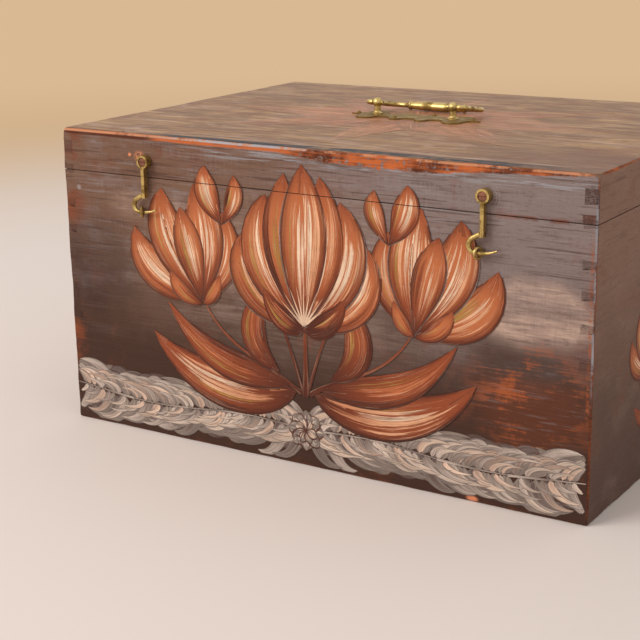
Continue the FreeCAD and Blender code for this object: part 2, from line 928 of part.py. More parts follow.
def bail():
    """The bail: a bent rod with a turned grip, folded back on the lid about the posts."""
    reach = size("bail_reach")
    elbow, corner = size("bail_elbow_bend"), size("bail_corner_bend")
    shoulder = size("post_spacing") / 2 + size("post_ball_radius") + size("bail_side_gap")
    elbow_start = shoulder + size("bail_elbow_run")
    arm = elbow_start + elbow

    def bend(centre, radius, start, end):
        spots = [
            centre + Vector(math.cos(angle), math.sin(angle), 0) * radius
            for angle in (math.radians(degrees) for degrees in (start, (start + end) / 2, end))
        ]
        return Part.Arc(*spots).toShape()

    def run(start, end):
        return Part.LineSegment(Vector(*start, 0), Vector(*end, 0)).toShape()

    right = [
        run((shoulder, 0), (elbow_start, 0)),
        bend(Vector(elbow_start, elbow, 0), elbow, -90, 0),
        run((arm, elbow), (arm, reach - corner)),
        bend(Vector(arm - corner, reach - corner, 0), corner, 0, 90),
    ]
    left = [edge.mirror(Vector(), Vector(1, 0, 0)) for edge in reversed(right)]
    across = run((arm - corner, reach), (corner - arm, reach))
    route = Part.Wire(Part.sortEdges(right + [across] + left)[0])
    spine = doc.addObject("Part::Feature", "bail_route")
    spine.Shape = route
    ring = doc.addObject("Part::Circle", "bail_section")
    bind(ring, Radius="bail_wire_radius")
    ring.Placement = Placement(Vector(shoulder, 0, 0), TURN_TO_X)
    rod = doc.addObject("Part::Sweep", "bail_rod")
    rod.Sections = [ring]
    rod.Spine = (spine, [f"Edge{number}" for number in range(1, len(route.Edges) + 1)])
    rod.Solid = True
    rod.Frenet = True

    tip = size("grip_length") / 2
    end_radius, bead_radius = size("grip_end_radius"), size("grip_bead_radius")
    bead, belly = size("grip_bead_width"), size("grip_radius")
    inner = tip - bead

    def outline(x, radius):
        return Vector(x, radius, 0)

    edges = [
        Part.LineSegment(outline(-tip, 0), outline(-tip, end_radius)),
        Part.Arc(
            outline(-tip, end_radius),
            outline(-tip + bead / 2, bead_radius),
            outline(-inner, end_radius),
        ),
        Part.Arc(outline(-inner, end_radius), outline(0, belly), outline(inner, end_radius)),
        Part.Arc(
            outline(inner, end_radius), outline(tip - bead / 2, bead_radius), outline(tip, end_radius)
        ),
        Part.LineSegment(outline(tip, end_radius), outline(tip, 0)),
        Part.LineSegment(outline(tip, 0), outline(-tip, 0)),
    ]
    body = doc.addObject("PartDesign::Body", "bail_grip")
    profile = sketch_on(body, "XY_Plane", "grip_profile", edges)
    spin = body.newObject("PartDesign::Revolution", "grip_spin")
    spin.Profile = profile
    spin.ReferenceAxis = (profile, ["H_Axis"])
    spin.Angle = 360
    bind(body, y="bail_reach")
    pins = [
        solid(
            "Cylinder",
            f"bail_{side}_pin",
            turn,
            Radius="bail_pin_radius",
            Height="post_ball_radius * 2 + bail_pin_end + bail_side_gap + bail_elbow_run",
            x=f"{sign}(post_spacing / 2 - post_ball_radius - bail_pin_end)",
        )
        for side, sign, turn in (("left", "-", TURN_TO_MINUS_X), ("right", "", TURN_TO_X))
    ]
    item = fuse("handle_bail", [rod, body] + pins)
    drop = size("post_pivot_height") - belly - size("bail_rest_gap")
    tilt = math.degrees(math.asin(drop / reach))
    item.Placement = Placement(
        Vector(0, 0, size("box_height") + size("post_pivot_height")),
        Rotation(Vector(1, 0, 0), -tilt),
    )
    print(f"bail lies {tilt:.2f} degrees below level")


block = eased_block()
box_part = slab("box_layer", "0", RIM)
lid_part = slab("lid_layer", LID_RIM, "box_height")
panels = carcass_panels()
bottom_nails = nails("bottom_nails", "nail", None, "0")
lid_brads = nails("lid_brads", "brad", UPSIDE_DOWN, "box_height")
screws = {"box": [], "lid": []}
mortises = {"box": [], "lid": []}
for side in SIDES:
    box_screws, lid_screws, side_mortises = hinge(side)
    screws["box"] += box_screws
    screws["lid"] += lid_screws
    mortises["box"].append(side_mortises[0])
    mortises["lid"].append(side_mortises[1])
box_screw_group = group("hinge_box_screws", screws["box"])
lid_screw_group = group("hinge_lid_screws", screws["lid"])
eyes = group("eyes", [screw_eye(side) for side in SIDES])
hook_screws = group("hook_screws", [hook_screw(side) for side in SIDES])
for side in SIDES:
    hook(side)
stud_room = stud_fittings()
pins = plate_pins()
handle_plate(stud_room, pins)
for side in SIDES:
    handle_post(side)
bail()

cut("front_board", common("front_sawn", panels["front"], box_part), [eyes, bottom_nails])
cut("lid_front_rail", common("lid_front_sawn", panels["front"], lid_part), [hook_screws, lid_brads])
cut(
    "back_board",
    common("back_sawn", panels["back"], box_part),
    mortises["box"] + [box_screw_group, bottom_nails],
)
cut(
    "lid_back_rail",
    common("lid_back_sawn", panels["back"], lid_part),
    mortises["lid"] + [lid_screw_group, lid_brads],
)
for side in SIDES:
    cut(f"{side}_side_board", common(f"{side}_sawn", panels[side], box_part), [bottom_nails])
    cut(f"lid_{side}_rail", common(f"lid_{side}_sawn", panels[side], lid_part), [lid_brads])
bottom_blank = solid(
    "Box",
    "bottom_blank",
    Length="box_width",
    Width="box_depth",
    Height="bottom_thickness",
    x="-box_width / 2",
    y=FRONT,
)
cut("bottom_board", common("bottom_eased", bottom_blank, box_part), [bottom_nails])
top_blank = solid(
    "Box",
    "top_blank",
    Length="box_width",
    Width="box_depth",
    Height="top_thickness",
    x="-box_width / 2",
    y=FRONT,
    z=CARCASS_TOP,
)
cut("lid_top_board", common("top_eased", top_blank, lid_part), [lid_brads, stud_room, pins])
doc.recompute()

NODES = [
    "front_board",
    "back_board",
    "left_side_board",
    "right_side_board",
    "bottom_board",
    "bottom_nails",
    "hinge_left_box_leaf",
    "hinge_right_box_leaf",
    "hinge_left_pin",
    "hinge_right_pin",
    "hinge_box_screws",
    "hook_left_eye",
    "hook_right_eye",
    "lid_front_rail",
    "lid_back_rail",
    "lid_left_rail",
    "lid_right_rail",
    "lid_top_board",
    "lid_brads",
    "hinge_left_lid_leaf",
    "hinge_right_lid_leaf",
    "hinge_lid_screws",
    "hook_left_screw",
    "hook_right_screw",
    "handle_plate",
    "handle_plate_pins",
    "handle_left_post",
    "handle_right_post",
    "handle_post_washers",
    "handle_post_nuts",
    "hook_left",
    "hook_right",
    "handle_bail",
]

faults = [item.Name for item in doc.Objects if {"Invalid", "Error"} & set(item.State)]
for node in NODES:
    shape = doc.getObject(node).Shape
    if shape.isNull() or not shape.isValid() or not shape.Solids:
        faults.append(node)
if faults:
    raise RuntimeError(f"failed: {faults}")

os.makedirs("parts", exist_ok=True)
for node in NODES:
    item = doc.getObject(node)
    item.Label = node
    item.Shape.exportStep(f"parts/{node}.step")
    print(node, len(item.Shape.Solids), round(item.Shape.Volume))
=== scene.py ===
"""Looks of a dovetailed wooden carrying box.

Worn brush paint over red wood, a painted spray of flowers over a garland, old brass and rusty steel.
"""

import json
import math
import random

import bmesh
import bpy
from mathutils import Euler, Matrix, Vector, noise
from mathutils.geometry import interpolate_bezier

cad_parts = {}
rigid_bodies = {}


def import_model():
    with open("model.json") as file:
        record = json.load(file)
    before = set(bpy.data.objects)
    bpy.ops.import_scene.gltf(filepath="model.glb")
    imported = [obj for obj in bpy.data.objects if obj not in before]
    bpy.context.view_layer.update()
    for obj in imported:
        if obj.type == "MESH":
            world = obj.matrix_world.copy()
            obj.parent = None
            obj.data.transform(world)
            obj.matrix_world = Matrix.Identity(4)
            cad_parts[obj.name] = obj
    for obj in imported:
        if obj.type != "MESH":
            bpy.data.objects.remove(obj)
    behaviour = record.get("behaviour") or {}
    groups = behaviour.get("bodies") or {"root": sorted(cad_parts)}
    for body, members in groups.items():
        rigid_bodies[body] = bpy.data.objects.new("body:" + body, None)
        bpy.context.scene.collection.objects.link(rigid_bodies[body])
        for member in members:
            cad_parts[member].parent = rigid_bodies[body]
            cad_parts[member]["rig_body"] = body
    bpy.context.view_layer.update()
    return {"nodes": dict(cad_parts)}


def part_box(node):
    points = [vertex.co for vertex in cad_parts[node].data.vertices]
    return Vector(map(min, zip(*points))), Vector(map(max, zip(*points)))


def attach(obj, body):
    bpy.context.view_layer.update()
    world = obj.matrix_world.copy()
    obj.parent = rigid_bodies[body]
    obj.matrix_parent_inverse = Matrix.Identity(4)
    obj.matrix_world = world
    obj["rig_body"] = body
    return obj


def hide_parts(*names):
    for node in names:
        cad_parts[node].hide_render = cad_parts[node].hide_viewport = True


bl_info = {
    "name": "Painted Wooden Box",
    "version": (1, 0, 0),
    "blender": (4, 5, 0),
    "location": "View3D > Sidebar > Wooden Box",
    "description": "Worn paint, brushed decoration, old metalwork and stage of a dovetailed box",
    "category": "Add Mesh",
}

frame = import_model()
NODES = frame["nodes"]
MM = 0.001

FRONT_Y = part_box("front_board")[0].y
BACK_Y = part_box("back_board")[1].y
SIDE_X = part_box("right_side_board")[1].x
TOP_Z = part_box("lid_top_board")[1].z
RIM_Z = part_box("front_board")[1].z
LID_RIM_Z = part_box("lid_front_rail")[0].z
SEAM_Z = (RIM_Z + LID_RIM_Z) / 2
BOX_LOW = Vector((-SIDE_X, FRONT_Y, 0.0))
BOX_HIGH = Vector((SIDE_X, BACK_Y, TOP_Z))

# How far strokes keep off the edges of a face, and how far the floor lies under the box.
RIM = 2.6 * MM
FLOOR_GAP = 0.2 * MM

# How far the box's ends lie behind CAD's, in millimetres.
SIDE_SUNK = 0.6

PAINT_GLOSS = 0.12


def paint(red, green, blue):
    """A colour as paint charts give it, 0 to 255, made linear for the shader."""
    channels = (value / 255 for value in (red, green, blue))
    return tuple(c / 12.92 if c <= 0.04045 else ((c + 0.055) / 1.055) ** 2.4 for c in channels)


def swatch(name, description, rgb):
    """A colour that a user can change."""
    return bpy.props.FloatVectorProperty(
        name=name, description=description, subtype="COLOR", size=3, min=0, max=1, default=paint(*rgb)
    )


def label(name):
    """A value's name as a socket shows it."""
    return name.replace("_", " ").capitalize()


class BoxGroundPaint(bpy.types.PropertyGroup):
    """Colours of the ground paint, the wood and a painted highlight."""

    front_upper: swatch("Front, upper", "Ground of the front, high up on the left", (115, 86, 71))
    front_grey: swatch("Front, grey", "Ground of the front, high up on the right", (131, 115, 112))
    front_lower: swatch("Front, lower", "Ground of the front, low down", (67, 45, 36))
    streak_light: swatch("Light streaks", "Blue-grey streaks of the front", (152, 144, 146))
    streak_dark: swatch("Dark streaks", "Dark grain of the front", (72, 48, 42))
    side: swatch("Sides", "Ground of the sides and back, high up", (131, 100, 84))
    side_low: swatch("Sides, low", "Ground of the sides and back, low down", (91, 68, 58))
    top: swatch("Top", "Ground of the lid's top", (164, 124, 82))
    top_light: swatch("Top, light", "Ochre brush marks of the lid's top", (204, 164, 116))
    top_dark: swatch("Top, dark", "Dark brush marks of the lid's top", (112, 78, 58))
    worn_wood: swatch("Worn wood", "Red wood where the paint has gone", (190, 100, 54))
    worn_dark: swatch("Worn wood, dark", "Old edge of a worn place", (84, 42, 28))
    edge_blue: swatch("Edge blue", "First paint that shows along the edges", (160, 164, 172))
    slate: swatch("Slate", "Dark line along the top's front edge", (20, 22, 34))
    haze: swatch("Haze", "Thin pale scumble", (188, 159, 144))
    stain: swatch("Red stain", "Red-brown that glows through the ground", (118, 62, 40))
    # Pale wood here and there, and the painted highlight along the rounded upper edge of the front.
    rim_light: swatch("Rim", "Light line along the front's upper edge", (200, 138, 102))
    copper: swatch("Copper specks", "Specks of copper paint by the left hook", (214, 134, 96))
    raw_wood: swatch("Raw wood", "Unpainted inside", (158, 112, 74))
    raw_grain: swatch("Raw grain", "Grain lines of the raw wood", (104, 66, 42))


class BoxBrushPaint(bpy.types.PropertyGroup):
    """Colours of the decoration."""

    umber: swatch("Umber", "Stems and shadows", (82, 42, 32))
    rust: swatch("Rust", "Deep petals", (146, 74, 46))
    copper: swatch("Copper", "Middle of the petals", (186, 108, 68))
    peach: swatch("Peach", "Light petals", (222, 164, 126))
    cream: swatch("Cream", "Highlights", (238, 208, 180))
    gold: swatch("Gold", "Ochre glints", (168, 128, 66))
    leaf_grey: swatch("Leaf grey", "Middle of the garland", (142, 128, 119))
    leaf_dark: swatch("Leaf dark", "Shadow of the garland", (108, 95, 91))
    leaf_pale: swatch("Leaf pale", "Lights of the garland", (198, 181, 170))
    ray_pink: swatch("Ray pink", "Star on the lid", (190, 122, 90))
    ray_shade: swatch("Ray shade", "Shaded half of the star", (146, 92, 66))


class BoxMetal(bpy.types.PropertyGroup):
    """Colours of the metalwork."""

    brass: swatch("Brass", "Rubbed brass", (200, 174, 112))
    brass_dark: swatch("Tarnish", "Tarnish in the hollows", (130, 104, 58))
    rust: swatch("Rusty steel", "Nails and screws", (112, 62, 44))
    screw: swatch("Hook screws", "Hook screws, brushed over with red-brown paint", (150, 96, 72))
    rust_dark: swatch("Dark steel", "Old dark steel", (56, 40, 34))


class BoxStage(bpy.types.PropertyGroup):
    """Camera, floor and light."""

    lens: bpy.props.FloatProperty(
        name="Lens", description="Focal length", subtype="DISTANCE_CAMERA", default=83.22
    )
    eye: bpy.props.FloatVectorProperty(
        name="Camera place",
        description="Where the camera stands",
        subtype="XYZ",
        default=(0.60803, -1.10554, 0.43667),
    )
    turn: bpy.props.FloatVectorProperty(
        name="Camera turn",
        description="The camera's rotation",
        subtype="EULER",
        default=tuple(math.radians(angle) for angle in (74.12, 0.881, 32.35)),
    )
    floor: swatch("Floor", "Pale cloth under the box", (226, 214, 208))
    backdrop: swatch("Backdrop", "Wall behind the box", (217, 185, 148))
    key_power: bpy.props.FloatProperty(
        name="Key light", description="Power of the key light", unit="POWER", default=46
    )
    sky: bpy.props.FloatProperty(
        name="Ambient light", description="Strength of the soft light all round", default=0.70
    )


class Value:
    """An output of a shader node. Sums with it add Math nodes to its tree."""

    def __init__(self, tree, socket):
        self.tree = tree
        self.socket = socket

    def __add__(self, other):
        return self.tree.math("ADD", self, other)

    def __sub__(self, other):
        return self.tree.math("SUBTRACT", self, other)

    def __rsub__(self, other):
        return self.tree.math("SUBTRACT", other, self)

    def __mul__(self, other):
        return self.tree.math("MULTIPLY", self, other)

    def __truediv__(self, other):
        return self.tree.math("DIVIDE", self, other)

    def __abs__(self):
        return self.tree.math("ABSOLUTE", self)

    def most(self, other):
        return self.tree.math("MAXIMUM", self, other)

    def least(self, other):
        return self.tree.math("MINIMUM", self, other)

    def between(self, low, high):
        """Rises smoothly from 0 to 1 as the value goes from low to high."""
        ends = {"Value": self, "From Min": low, "From Max": high}
        return self.tree.node("MapRange", ends, interpolation_type="SMOOTHSTEP")[0]

    def inside(self, low, high, soft):
        """1 from low to high, with soft ends."""
        return self.between(low - soft, low + soft) * self.between(high + soft, high - soft)


class Tree:
    """Adds nodes to a shader tree. A socket is fed with a number, a colour or a Value."""

    def __init__(self, tree):
        self.tree = tree

    def feed(self, socket, value):
        if isinstance(value, Value):
            self.tree.links.new(value.socket, socket)
        elif hasattr(value, "__len__") and len(value) == 3 and socket.type == "RGBA":
            socket.default_value = (*value, 1)
        else:
            socket.default_value = value

    def node(self, kind, inputs=None, **settings):
        """Adds a node and returns its outputs by number and by name."""
        made = self.tree.nodes.new("ShaderNode" + kind)
        for name, value in settings.items():
            setattr(made, name, value)
        for key, value in (inputs or {}).items():
            self.feed(made.inputs[key], value)
        named = {socket.name: Value(self, socket) for socket in made.outputs}
        numbered = {number: Value(self, socket) for number, socket in enumerate(made.outputs)}
        return {**named, **numbered}

    def group(self, group, **values):
        """A shared group with its own values."""
        return self.node("Group", {label(name): value for name, value in values.items()}, node_tree=group)

    def math(self, operation, *values):
        return self.node("Math", dict(enumerate(values)), operation=operation)[0]

    def mix(self, factor, a, b, blend="MIX"):
        return self.node("Mix", {0: factor, 6: a, 7: b}, data_type="RGBA", blend_type=blend)[2]

    def split(self, vector):
        parts = self.node("SeparateXYZ", {0: vector})
        return parts[0], parts[1], parts[2]

    def join(self, x, y, z):
        return self.node("CombineXYZ", {0: x, 1: y, 2: z})[0]

    def scaled(self, vector, scales, shift=(0, 0, 0)):
        """The vector with its axes scaled, then moved."""
        return self.node("Mapping", {"Vector": vector, "Scale": scales, "Location": shift})[0]

    def noise(self, vector, scale=1.0, detail=2.0, roughness=0.5, distortion=0.0):
        inputs = {"Vector": vector, "Scale": scale, "Detail": detail, "Roughness": roughness}
        return self.node("TexNoise", {**inputs, "Distortion": distortion})[0]


SOCKETS = {"colour": "NodeSocketColor", "value": "NodeSocketFloat", "vector": "NodeSocketVector"}


def shared_group(name, inputs, **outputs):
    """A node group with named sockets. Returns it, its tree, its given values and its end's sockets."""
    group = bpy.data.node_groups.new(name, "ShaderNodeTree")
    for title, kind, value in inputs:
        socket = group.interface.new_socket(label(title), in_out="INPUT", socket_type=SOCKETS[kind])
        socket.default_value = (*value, 1) if kind == "colour" else value
    for title, kind in outputs.items():
        group.interface.new_socket(label(title), in_out="OUTPUT", socket_type=SOCKETS[kind])
    t = Tree(group)
    start = group.nodes.new("NodeGroupInput")
    end = group.nodes.new("NodeGroupOutput")
    given = {title: Value(t, start.outputs[label(title)]) for title, _, _ in inputs}
    return group, t, given, end.inputs


def place_group():
    """Where a point lies on the box: the faces, its edge distance and the way that the grain runs."""
    group, t, _, out = shared_group(
        "box place", [], edge="value", depth="value", front="value", top="value", run="vector", place="vector"
    )
    coordinates = t.node("TexCoord")
    place = coordinates["Object"]
    x, y, z = t.split(place)
    level = abs(t.split(coordinates["Normal"])[2]).between(0.6, 0.8)
    from_side = SIDE_X - abs(x)
    from_face = BACK_Y - abs(y)
    from_level = z.least(TOP_Z - z)
    nearest = from_side.least(from_face).least(from_level)
    furthest = from_side.most(from_face).most(from_level)
    upright = t.join(x + y, 0.0, z)
    flat = t.join(x, 0.0, y)
    t.feed(out["Edge"], from_side + from_face + from_level - nearest - furthest)
    t.feed(out["Depth"], nearest)
    t.feed(out["Front"], y.between(FRONT_Y + 1.4 * MM, FRONT_Y + 0.6 * MM))
    t.feed(out["Top"], z.between(TOP_Z - 1.4 * MM, TOP_Z - 0.6 * MM))
    t.feed(out["Run"], t.node("Mix", {0: level, 4: upright, 5: flat}, data_type="VECTOR")[1])
    t.feed(out["Place"], place)
    return group


# Centre and half size of each place on the front, in millimetres.
ZONES = {
    "haze": ((-2, 150), (225, 90)),
    "right haze": ((196, 151), (64, 32)),
    "left haze": ((-150, 196), (52, 16)),
    "left grey": ((-205, 150), (55, 55)),
    "lower right": ((192, 88), (62, 58)),
    "lower left": ((-234, 92), (13, 55)),
    "copper specks": ((-157.2, 237.2), (8.2, 7.0)),
    "lone speck": ((-167.5, 238.5), (2.2, 1.8)),
    "chip": ((147.3, 2.4), (6.2, 3.2)),
    "pale spot": ((-224.3, 206.6), (3.0, 2.8)),
}

# Start, end and softness of each band, in millimetres.
BANDS = {
    "strip": (-35, 225, 40),
    "deep strip": (0, 140, 50),
    "corner wear": (2.4, 4.8, 1.3),
    "corner wear height": (75, 205, 15),
    "half pin": (1.5, 12, 0.5),
    "half pin height": (0.6, 6.6, 0.6),
    "blue streaks": (5, 13, 3),
    "blue streaks width": (-100, 240, 30),
    "slate width": (-145, 200, 30),
    "dark line": (2.0, 5.5, 1),
    "rim": (-1.9, 0.9, 0.5),
    "pale rim": (-120, 0, 30),
    "under rim": (-4.4, -2.0, 0.7),
    "dabs": (15, 25, 4),
    "scratches": (8, 13, 2),
}

# Where each ramp starts and is full, in millimetres.
RAMPS = {
    "grey side": (-120, 160),
    "stained end": (-212, -230),
    "stained end height": (140, 200),
    "dark low right": (105, 120),
    "red low right": (110, 95),
    "dark corner": (80, 200),
    "dark corner depth": (-60, -120),
    "right end": (7, 4),
    "left end": (-216, -230),
    "old wood height": (249, 240),
    "foot": (2, 14),
    "rubbed end": (-228, -238),
    "rubbed seam": (150, 190),
    "off sides": (0.9, 1.6),
    "upper edge": (22, 18),
    "right part": (-30, 30),
    "left part": (-135, -155),
    "slate": (0.9, 1.8),
    "under rim": (0, -30),
    "corner line": (2.6, 1.4),
    "corner line height": (80, 130),
    "outside": (2.4, 1.6),
    "off ground": (0.15, 0.6),
}

# Vector, scales, shift, detail, roughness and distortion of each noise. Run follows the grain.
NOISES = {
    "fine": ("Run", (22, 1, 470), (0, 0, 0), 6, 0.66, 0),
    "upright": ("Run", (620, 1, 60), (5, 0, 5), 4, 0.6, 0),
    "broad": ("Run", (7, 1, 62), (3, 0, 7), 5, 0.6, 0.3),
    "rough": ("Run", (24, 1, 250), (11, 0, 2), 5, 0.65, 0),
    "pores": ("Run", (130, 1, 1300), (2, 0, 8), 2, 0.5, 0),
    "lines": ("Run", (11, 1, 390), (9, 0, 1), 3, 0.55, 0),
    "strokes": ("Run", (12, 1, 84), (1, 0, 4), 6, 0.62, 0.5),
    "sweep": ("Run", (15, 1, 150), (6, 0, 3), 4, 0.6, 0.3),
    "torn": ("Run", (60, 1, 60), (0, 0, 0), 6, 0.75, 0),
    "grain": ("Run", (4, 1, 150), (0, 0, 0), 7, 0.66, 0.25),
    "swirl": ("Place", (15, 26, 1), (2, 7, 0), 5, 0.62, 1.6),
    "cloud": ("Place", (21, 21, 34), (4, 9, 2), 5, 0.6, 0),
    "patchy": ("Place", (9, 9, 9), (0, 0, 0), 3, 0.5, 0),
    "blotch": ("Place", (30, 30, 30), (0, 0, 0), 6, 0.62, 0),
    "wander": ("Place", (38, 38, 38), (0, 0, 0), 4, 0.65, 0),
    "speck": ("Place", (260, 260, 260), (0, 0, 0), 3, 0.7, 0),
}
HOOK_RING = (153.5 * MM, 233.5 * MM)
RING_PITCH = 2.1 * MM


class GroundTree(Tree):
    """The shader tree of the ground paint, with the noises and distances that its layers are made of."""

    def __init__(self, tree, here, paints):
        super().__init__(tree)
        self.paints = paints
        self.x, self.y, self.z = self.split(here["Place"])
        self.edge, self.depth = here["Edge"], here["Depth"]
        self.front, self.top = here["Front"], here["Top"]
        for name, (vector, scales, shift, *shape) in NOISES.items():
            setattr(self, name, self.noise(self.scaled(here[vector], scales, shift), 1.0, *shape))
        self.weave = self.fine * 0.80 + self.upright * 0.20
        self.below = TOP_Z - self.z
        self.behind = self.y - FRONT_Y
        self.from_right = SIDE_X - self.x
        self.height = self.z / TOP_Z
        self.ragged = self.broad * 0.6 + self.blotch * 0.5 + self.weave * 0.4 - 0.75
        self.blended = self.height + (self.patchy - 0.5) * 0.5 + (self.blotch - 0.5) * 0.3
        self.lower_right = self.zone("lower right", self.ragged)

    def over(self, under, *layers):
        """Lays paint over paint. Each layer is a paint or its name, and the mask that lets it through."""
        under = self.paints.get(under, under)
        for paint, mask in layers:
            under = self.mix(mask, under, self.paints.get(paint, paint))
        return under

    def zone(self, name, ragged=0.0):
        """A soft oval on the front, 1 in its middle."""
        centre, size = ZONES[name]
        across = (self.x - centre[0] * MM) / (size[0] * MM)
        up = (self.z - centre[1] * MM) / (size[1] * MM)
        far = self.math("SQRT", across * across + up * up)
        return (far + ragged).between(1.0, 0.35)

    def band(self, value, name):
        return value.inside(*(part * MM for part in BANDS[name]))

    def ramp(self, value, name):
        return value.between(*(place * MM for place in RAMPS[name]))


def front_face(t):
    """The front: brown at the left, grey at the right and dark low down, with grain, streaks and haze."""
    grey = t.ramp(t.x + t.ragged * 0.3, "grey side")
    pale = (t.weave + t.broad * 0.3).between(0.64, 0.82)
    dark = (t.rough + t.upright * 0.25).between(0.60, 0.45)
    end = t.ramp(t.x, "stained end") * t.ramp(t.z, "stained end height") * t.blotch.between(0.40, 0.56)
    ends = t.zone("right haze", t.ragged) * 1.9 + t.zone("left haze", t.ragged) * 0.8
    hazy = (t.zone("haze", t.ragged) * 0.30 + ends).least(1.0)
    scumble = (t.weave * 0.35 + t.broad * 0.45 + t.cloud * 0.2).between(0.44, 0.60)
    return t.over(
        "front_lower",
        (t.over("front_upper", ("front_grey", grey)), t.blended.between(0.30, 0.84)),
        ("front_grey", t.cloud.between(0.50, 0.68) * t.height.between(0.25, 0.7) * 0.5),
        ("stain", t.blotch.between(0.53, 0.70) * 0.38),
        ("streak_light", pale * t.height.between(0.15, 0.85) * 0.34),
        ("streak_dark", dark * 0.40),
        ("streak_dark", t.lines.between(0.44, 0.36) * t.height.between(0.3, 0.8) * 0.55),
        ("stain", end * 0.75),
        ("haze", hazy * (scumble * 0.75 + 0.25) * t.front),
        ("front_lower", t.lower_right * t.ramp(t.z, "dark low right") * 0.45),
        ("stain", t.lower_right * t.ramp(t.z, "red low right") * 0.40),
        ("slate", t.zone("left grey", t.ragged) * 0.30),
    )


def side_face(t):
    """The ends and the back: plain brown, darker low down."""
    return t.over(
        "side_low",
        ("side", t.blended.between(0.1, 0.8)),
        ("streak_dark", (t.rough + t.upright * 0.3).between(0.64, 0.46) * 0.34),
        ("haze", (t.cloud + t.weave * 0.3).between(0.60, 0.96) * 0.15),
        ("stain", t.blotch.between(0.52, 0.68) * 0.34),
    )


def lid_face(t):
    """The lid's top: long ochre and brown brush marks, darker towards the near right corner."""
    return t.over(
        "top",
        ("top_dark", t.strokes.between(0.60, 0.42) * 0.62),
        ("top_light", t.sweep.between(0.52, 0.64) * 0.50),
        ("top_dark", t.swirl.between(0.50, 0.36) * 0.50),
        ("haze", t.swirl.between(0.53, 0.64) * 0.34),
        ("top_dark", t.ramp(t.x, "dark corner") * t.ramp(t.y, "dark corner depth") * 0.75),
        ("top_dark", (t.rough + t.fine * 0.4).between(0.74, 0.58) * 0.55),
        ("stain", (t.blotch + t.weave * 0.4).between(0.68, 0.88) * 0.42),
        ("haze", t.broad.between(0.54, 0.70) * t.weave.between(0.44, 0.56) * 0.30),
    )


def raw_face(t):
    """Unpainted wood, inside and under the box."""
    return t.over(
        "raw_grain",
        ("raw_wood", t.grain.between(0.30, 0.62)),
        ("raw_grain", (t.patchy + t.blotch * 0.4).between(0.75, 0.5) * 0.4),
    )


def bared_wood(t):
    """The red wood that shows where the paint has gone, darker at the ends of the front."""
    near_end = t.ramp(t.from_right, "right end").most(t.ramp(t.x, "left end"))
    return t.over(
        "worn_dark",
        ("worn_wood", (t.fine * 0.5 + t.blotch * 0.5).between(0.42, 0.58)),
        # Pale wood here and there, in the colour of the edge's painted highlight.
        ("rim_light", t.rough.between(0.56, 0.72) * 0.25),
        ("worn_dark", near_end * t.ramp(t.z, "old wood height") * 0.62),
    )


def worn_mask(t):
    """Where the paint has gone: along every edge, on a strip below the lid's front edge, at the left end."""
    rubbed = t.edge.between(t.wander * (4.6 * MM), t.wander * (1.8 * MM))
    rubbed = rubbed * (t.ramp(t.z, "foot") * 0.9 + 0.1)
    reach = t.band(t.x, "strip") * (t.band(t.x, "deep strip") * (5.5 * MM) + 4.5 * MM) * (t.torn + 0.45)
    strip = t.front * t.below.between(reach + 0.9 * MM, reach - 0.3 * MM)
    strip = strip * (t.speck + t.fine * 0.5).between(0.62, 0.70)
    end = t.front * t.ramp(t.x, "rubbed end") * (t.blotch + t.rough * 0.5).between(0.74, 0.90)
    return rubbed.most(strip).most(end * 0.45).least(1.0)


def wear_over(t, painted, worn):
    """The paint with its blue streaks, rubbed places and half pin, then the bare wood."""
    wood = bared_wood(t)
    red_wood, dark_wood = t.over(wood, ("stain", 0.70)), t.over(wood, ("worn_dark", 0.6))
    blue = t.front * t.band(t.below, "blue streaks") * t.band(t.x, "blue streaks width")
    dabs = t.top * t.band(t.behind, "dabs") * t.rough.between(0.48, 0.58)
    beside = t.front * t.band(t.from_right, "corner wear") * t.band(t.z, "corner wear height")
    beside = beside * (t.speck * 0.5 + t.wander * 0.5).between(0.44, 0.54)
    half_pin = t.front * t.band(t.from_right, "half pin") * t.band(t.z - SEAM_Z, "half pin height")
    patches = (t.lower_right + t.zone("lower left", t.ragged)) * t.front
    patches = patches * (t.blotch * 0.6 + t.weave * 0.4).between(0.485, 0.56)
    seam = t.front * t.ramp(t.x, "rubbed seam") * t.blotch.between(0.38, 0.48)
    seam = seam * abs(t.z - SEAM_Z).between(t.wander * (4.6 * MM), 0.6 * MM)
    streaked = t.lower_right * t.front
    return t.over(
        painted,
        ("edge_blue", blue * t.fine.between(0.48, 0.60) * 0.55),
        ("haze", dabs * 0.5),
        (t.over("worn_wood", ("stain", 0.5)), beside * 0.8),
        ("worn_dark", half_pin * (t.speck * 0.6 + t.rough * 0.4).between(0.38, 0.50) * 0.8),
        (red_wood, patches * 0.70),
        (dark_wood, seam * 0.8),
        ("worn_wood", streaked * (t.fine * 0.4 + t.blotch * 0.6).between(0.49, 0.58) * 0.40),
        ("streak_light", streaked * t.rough.between(0.46, 0.36) * 0.20),
        (wood, worn),
    )


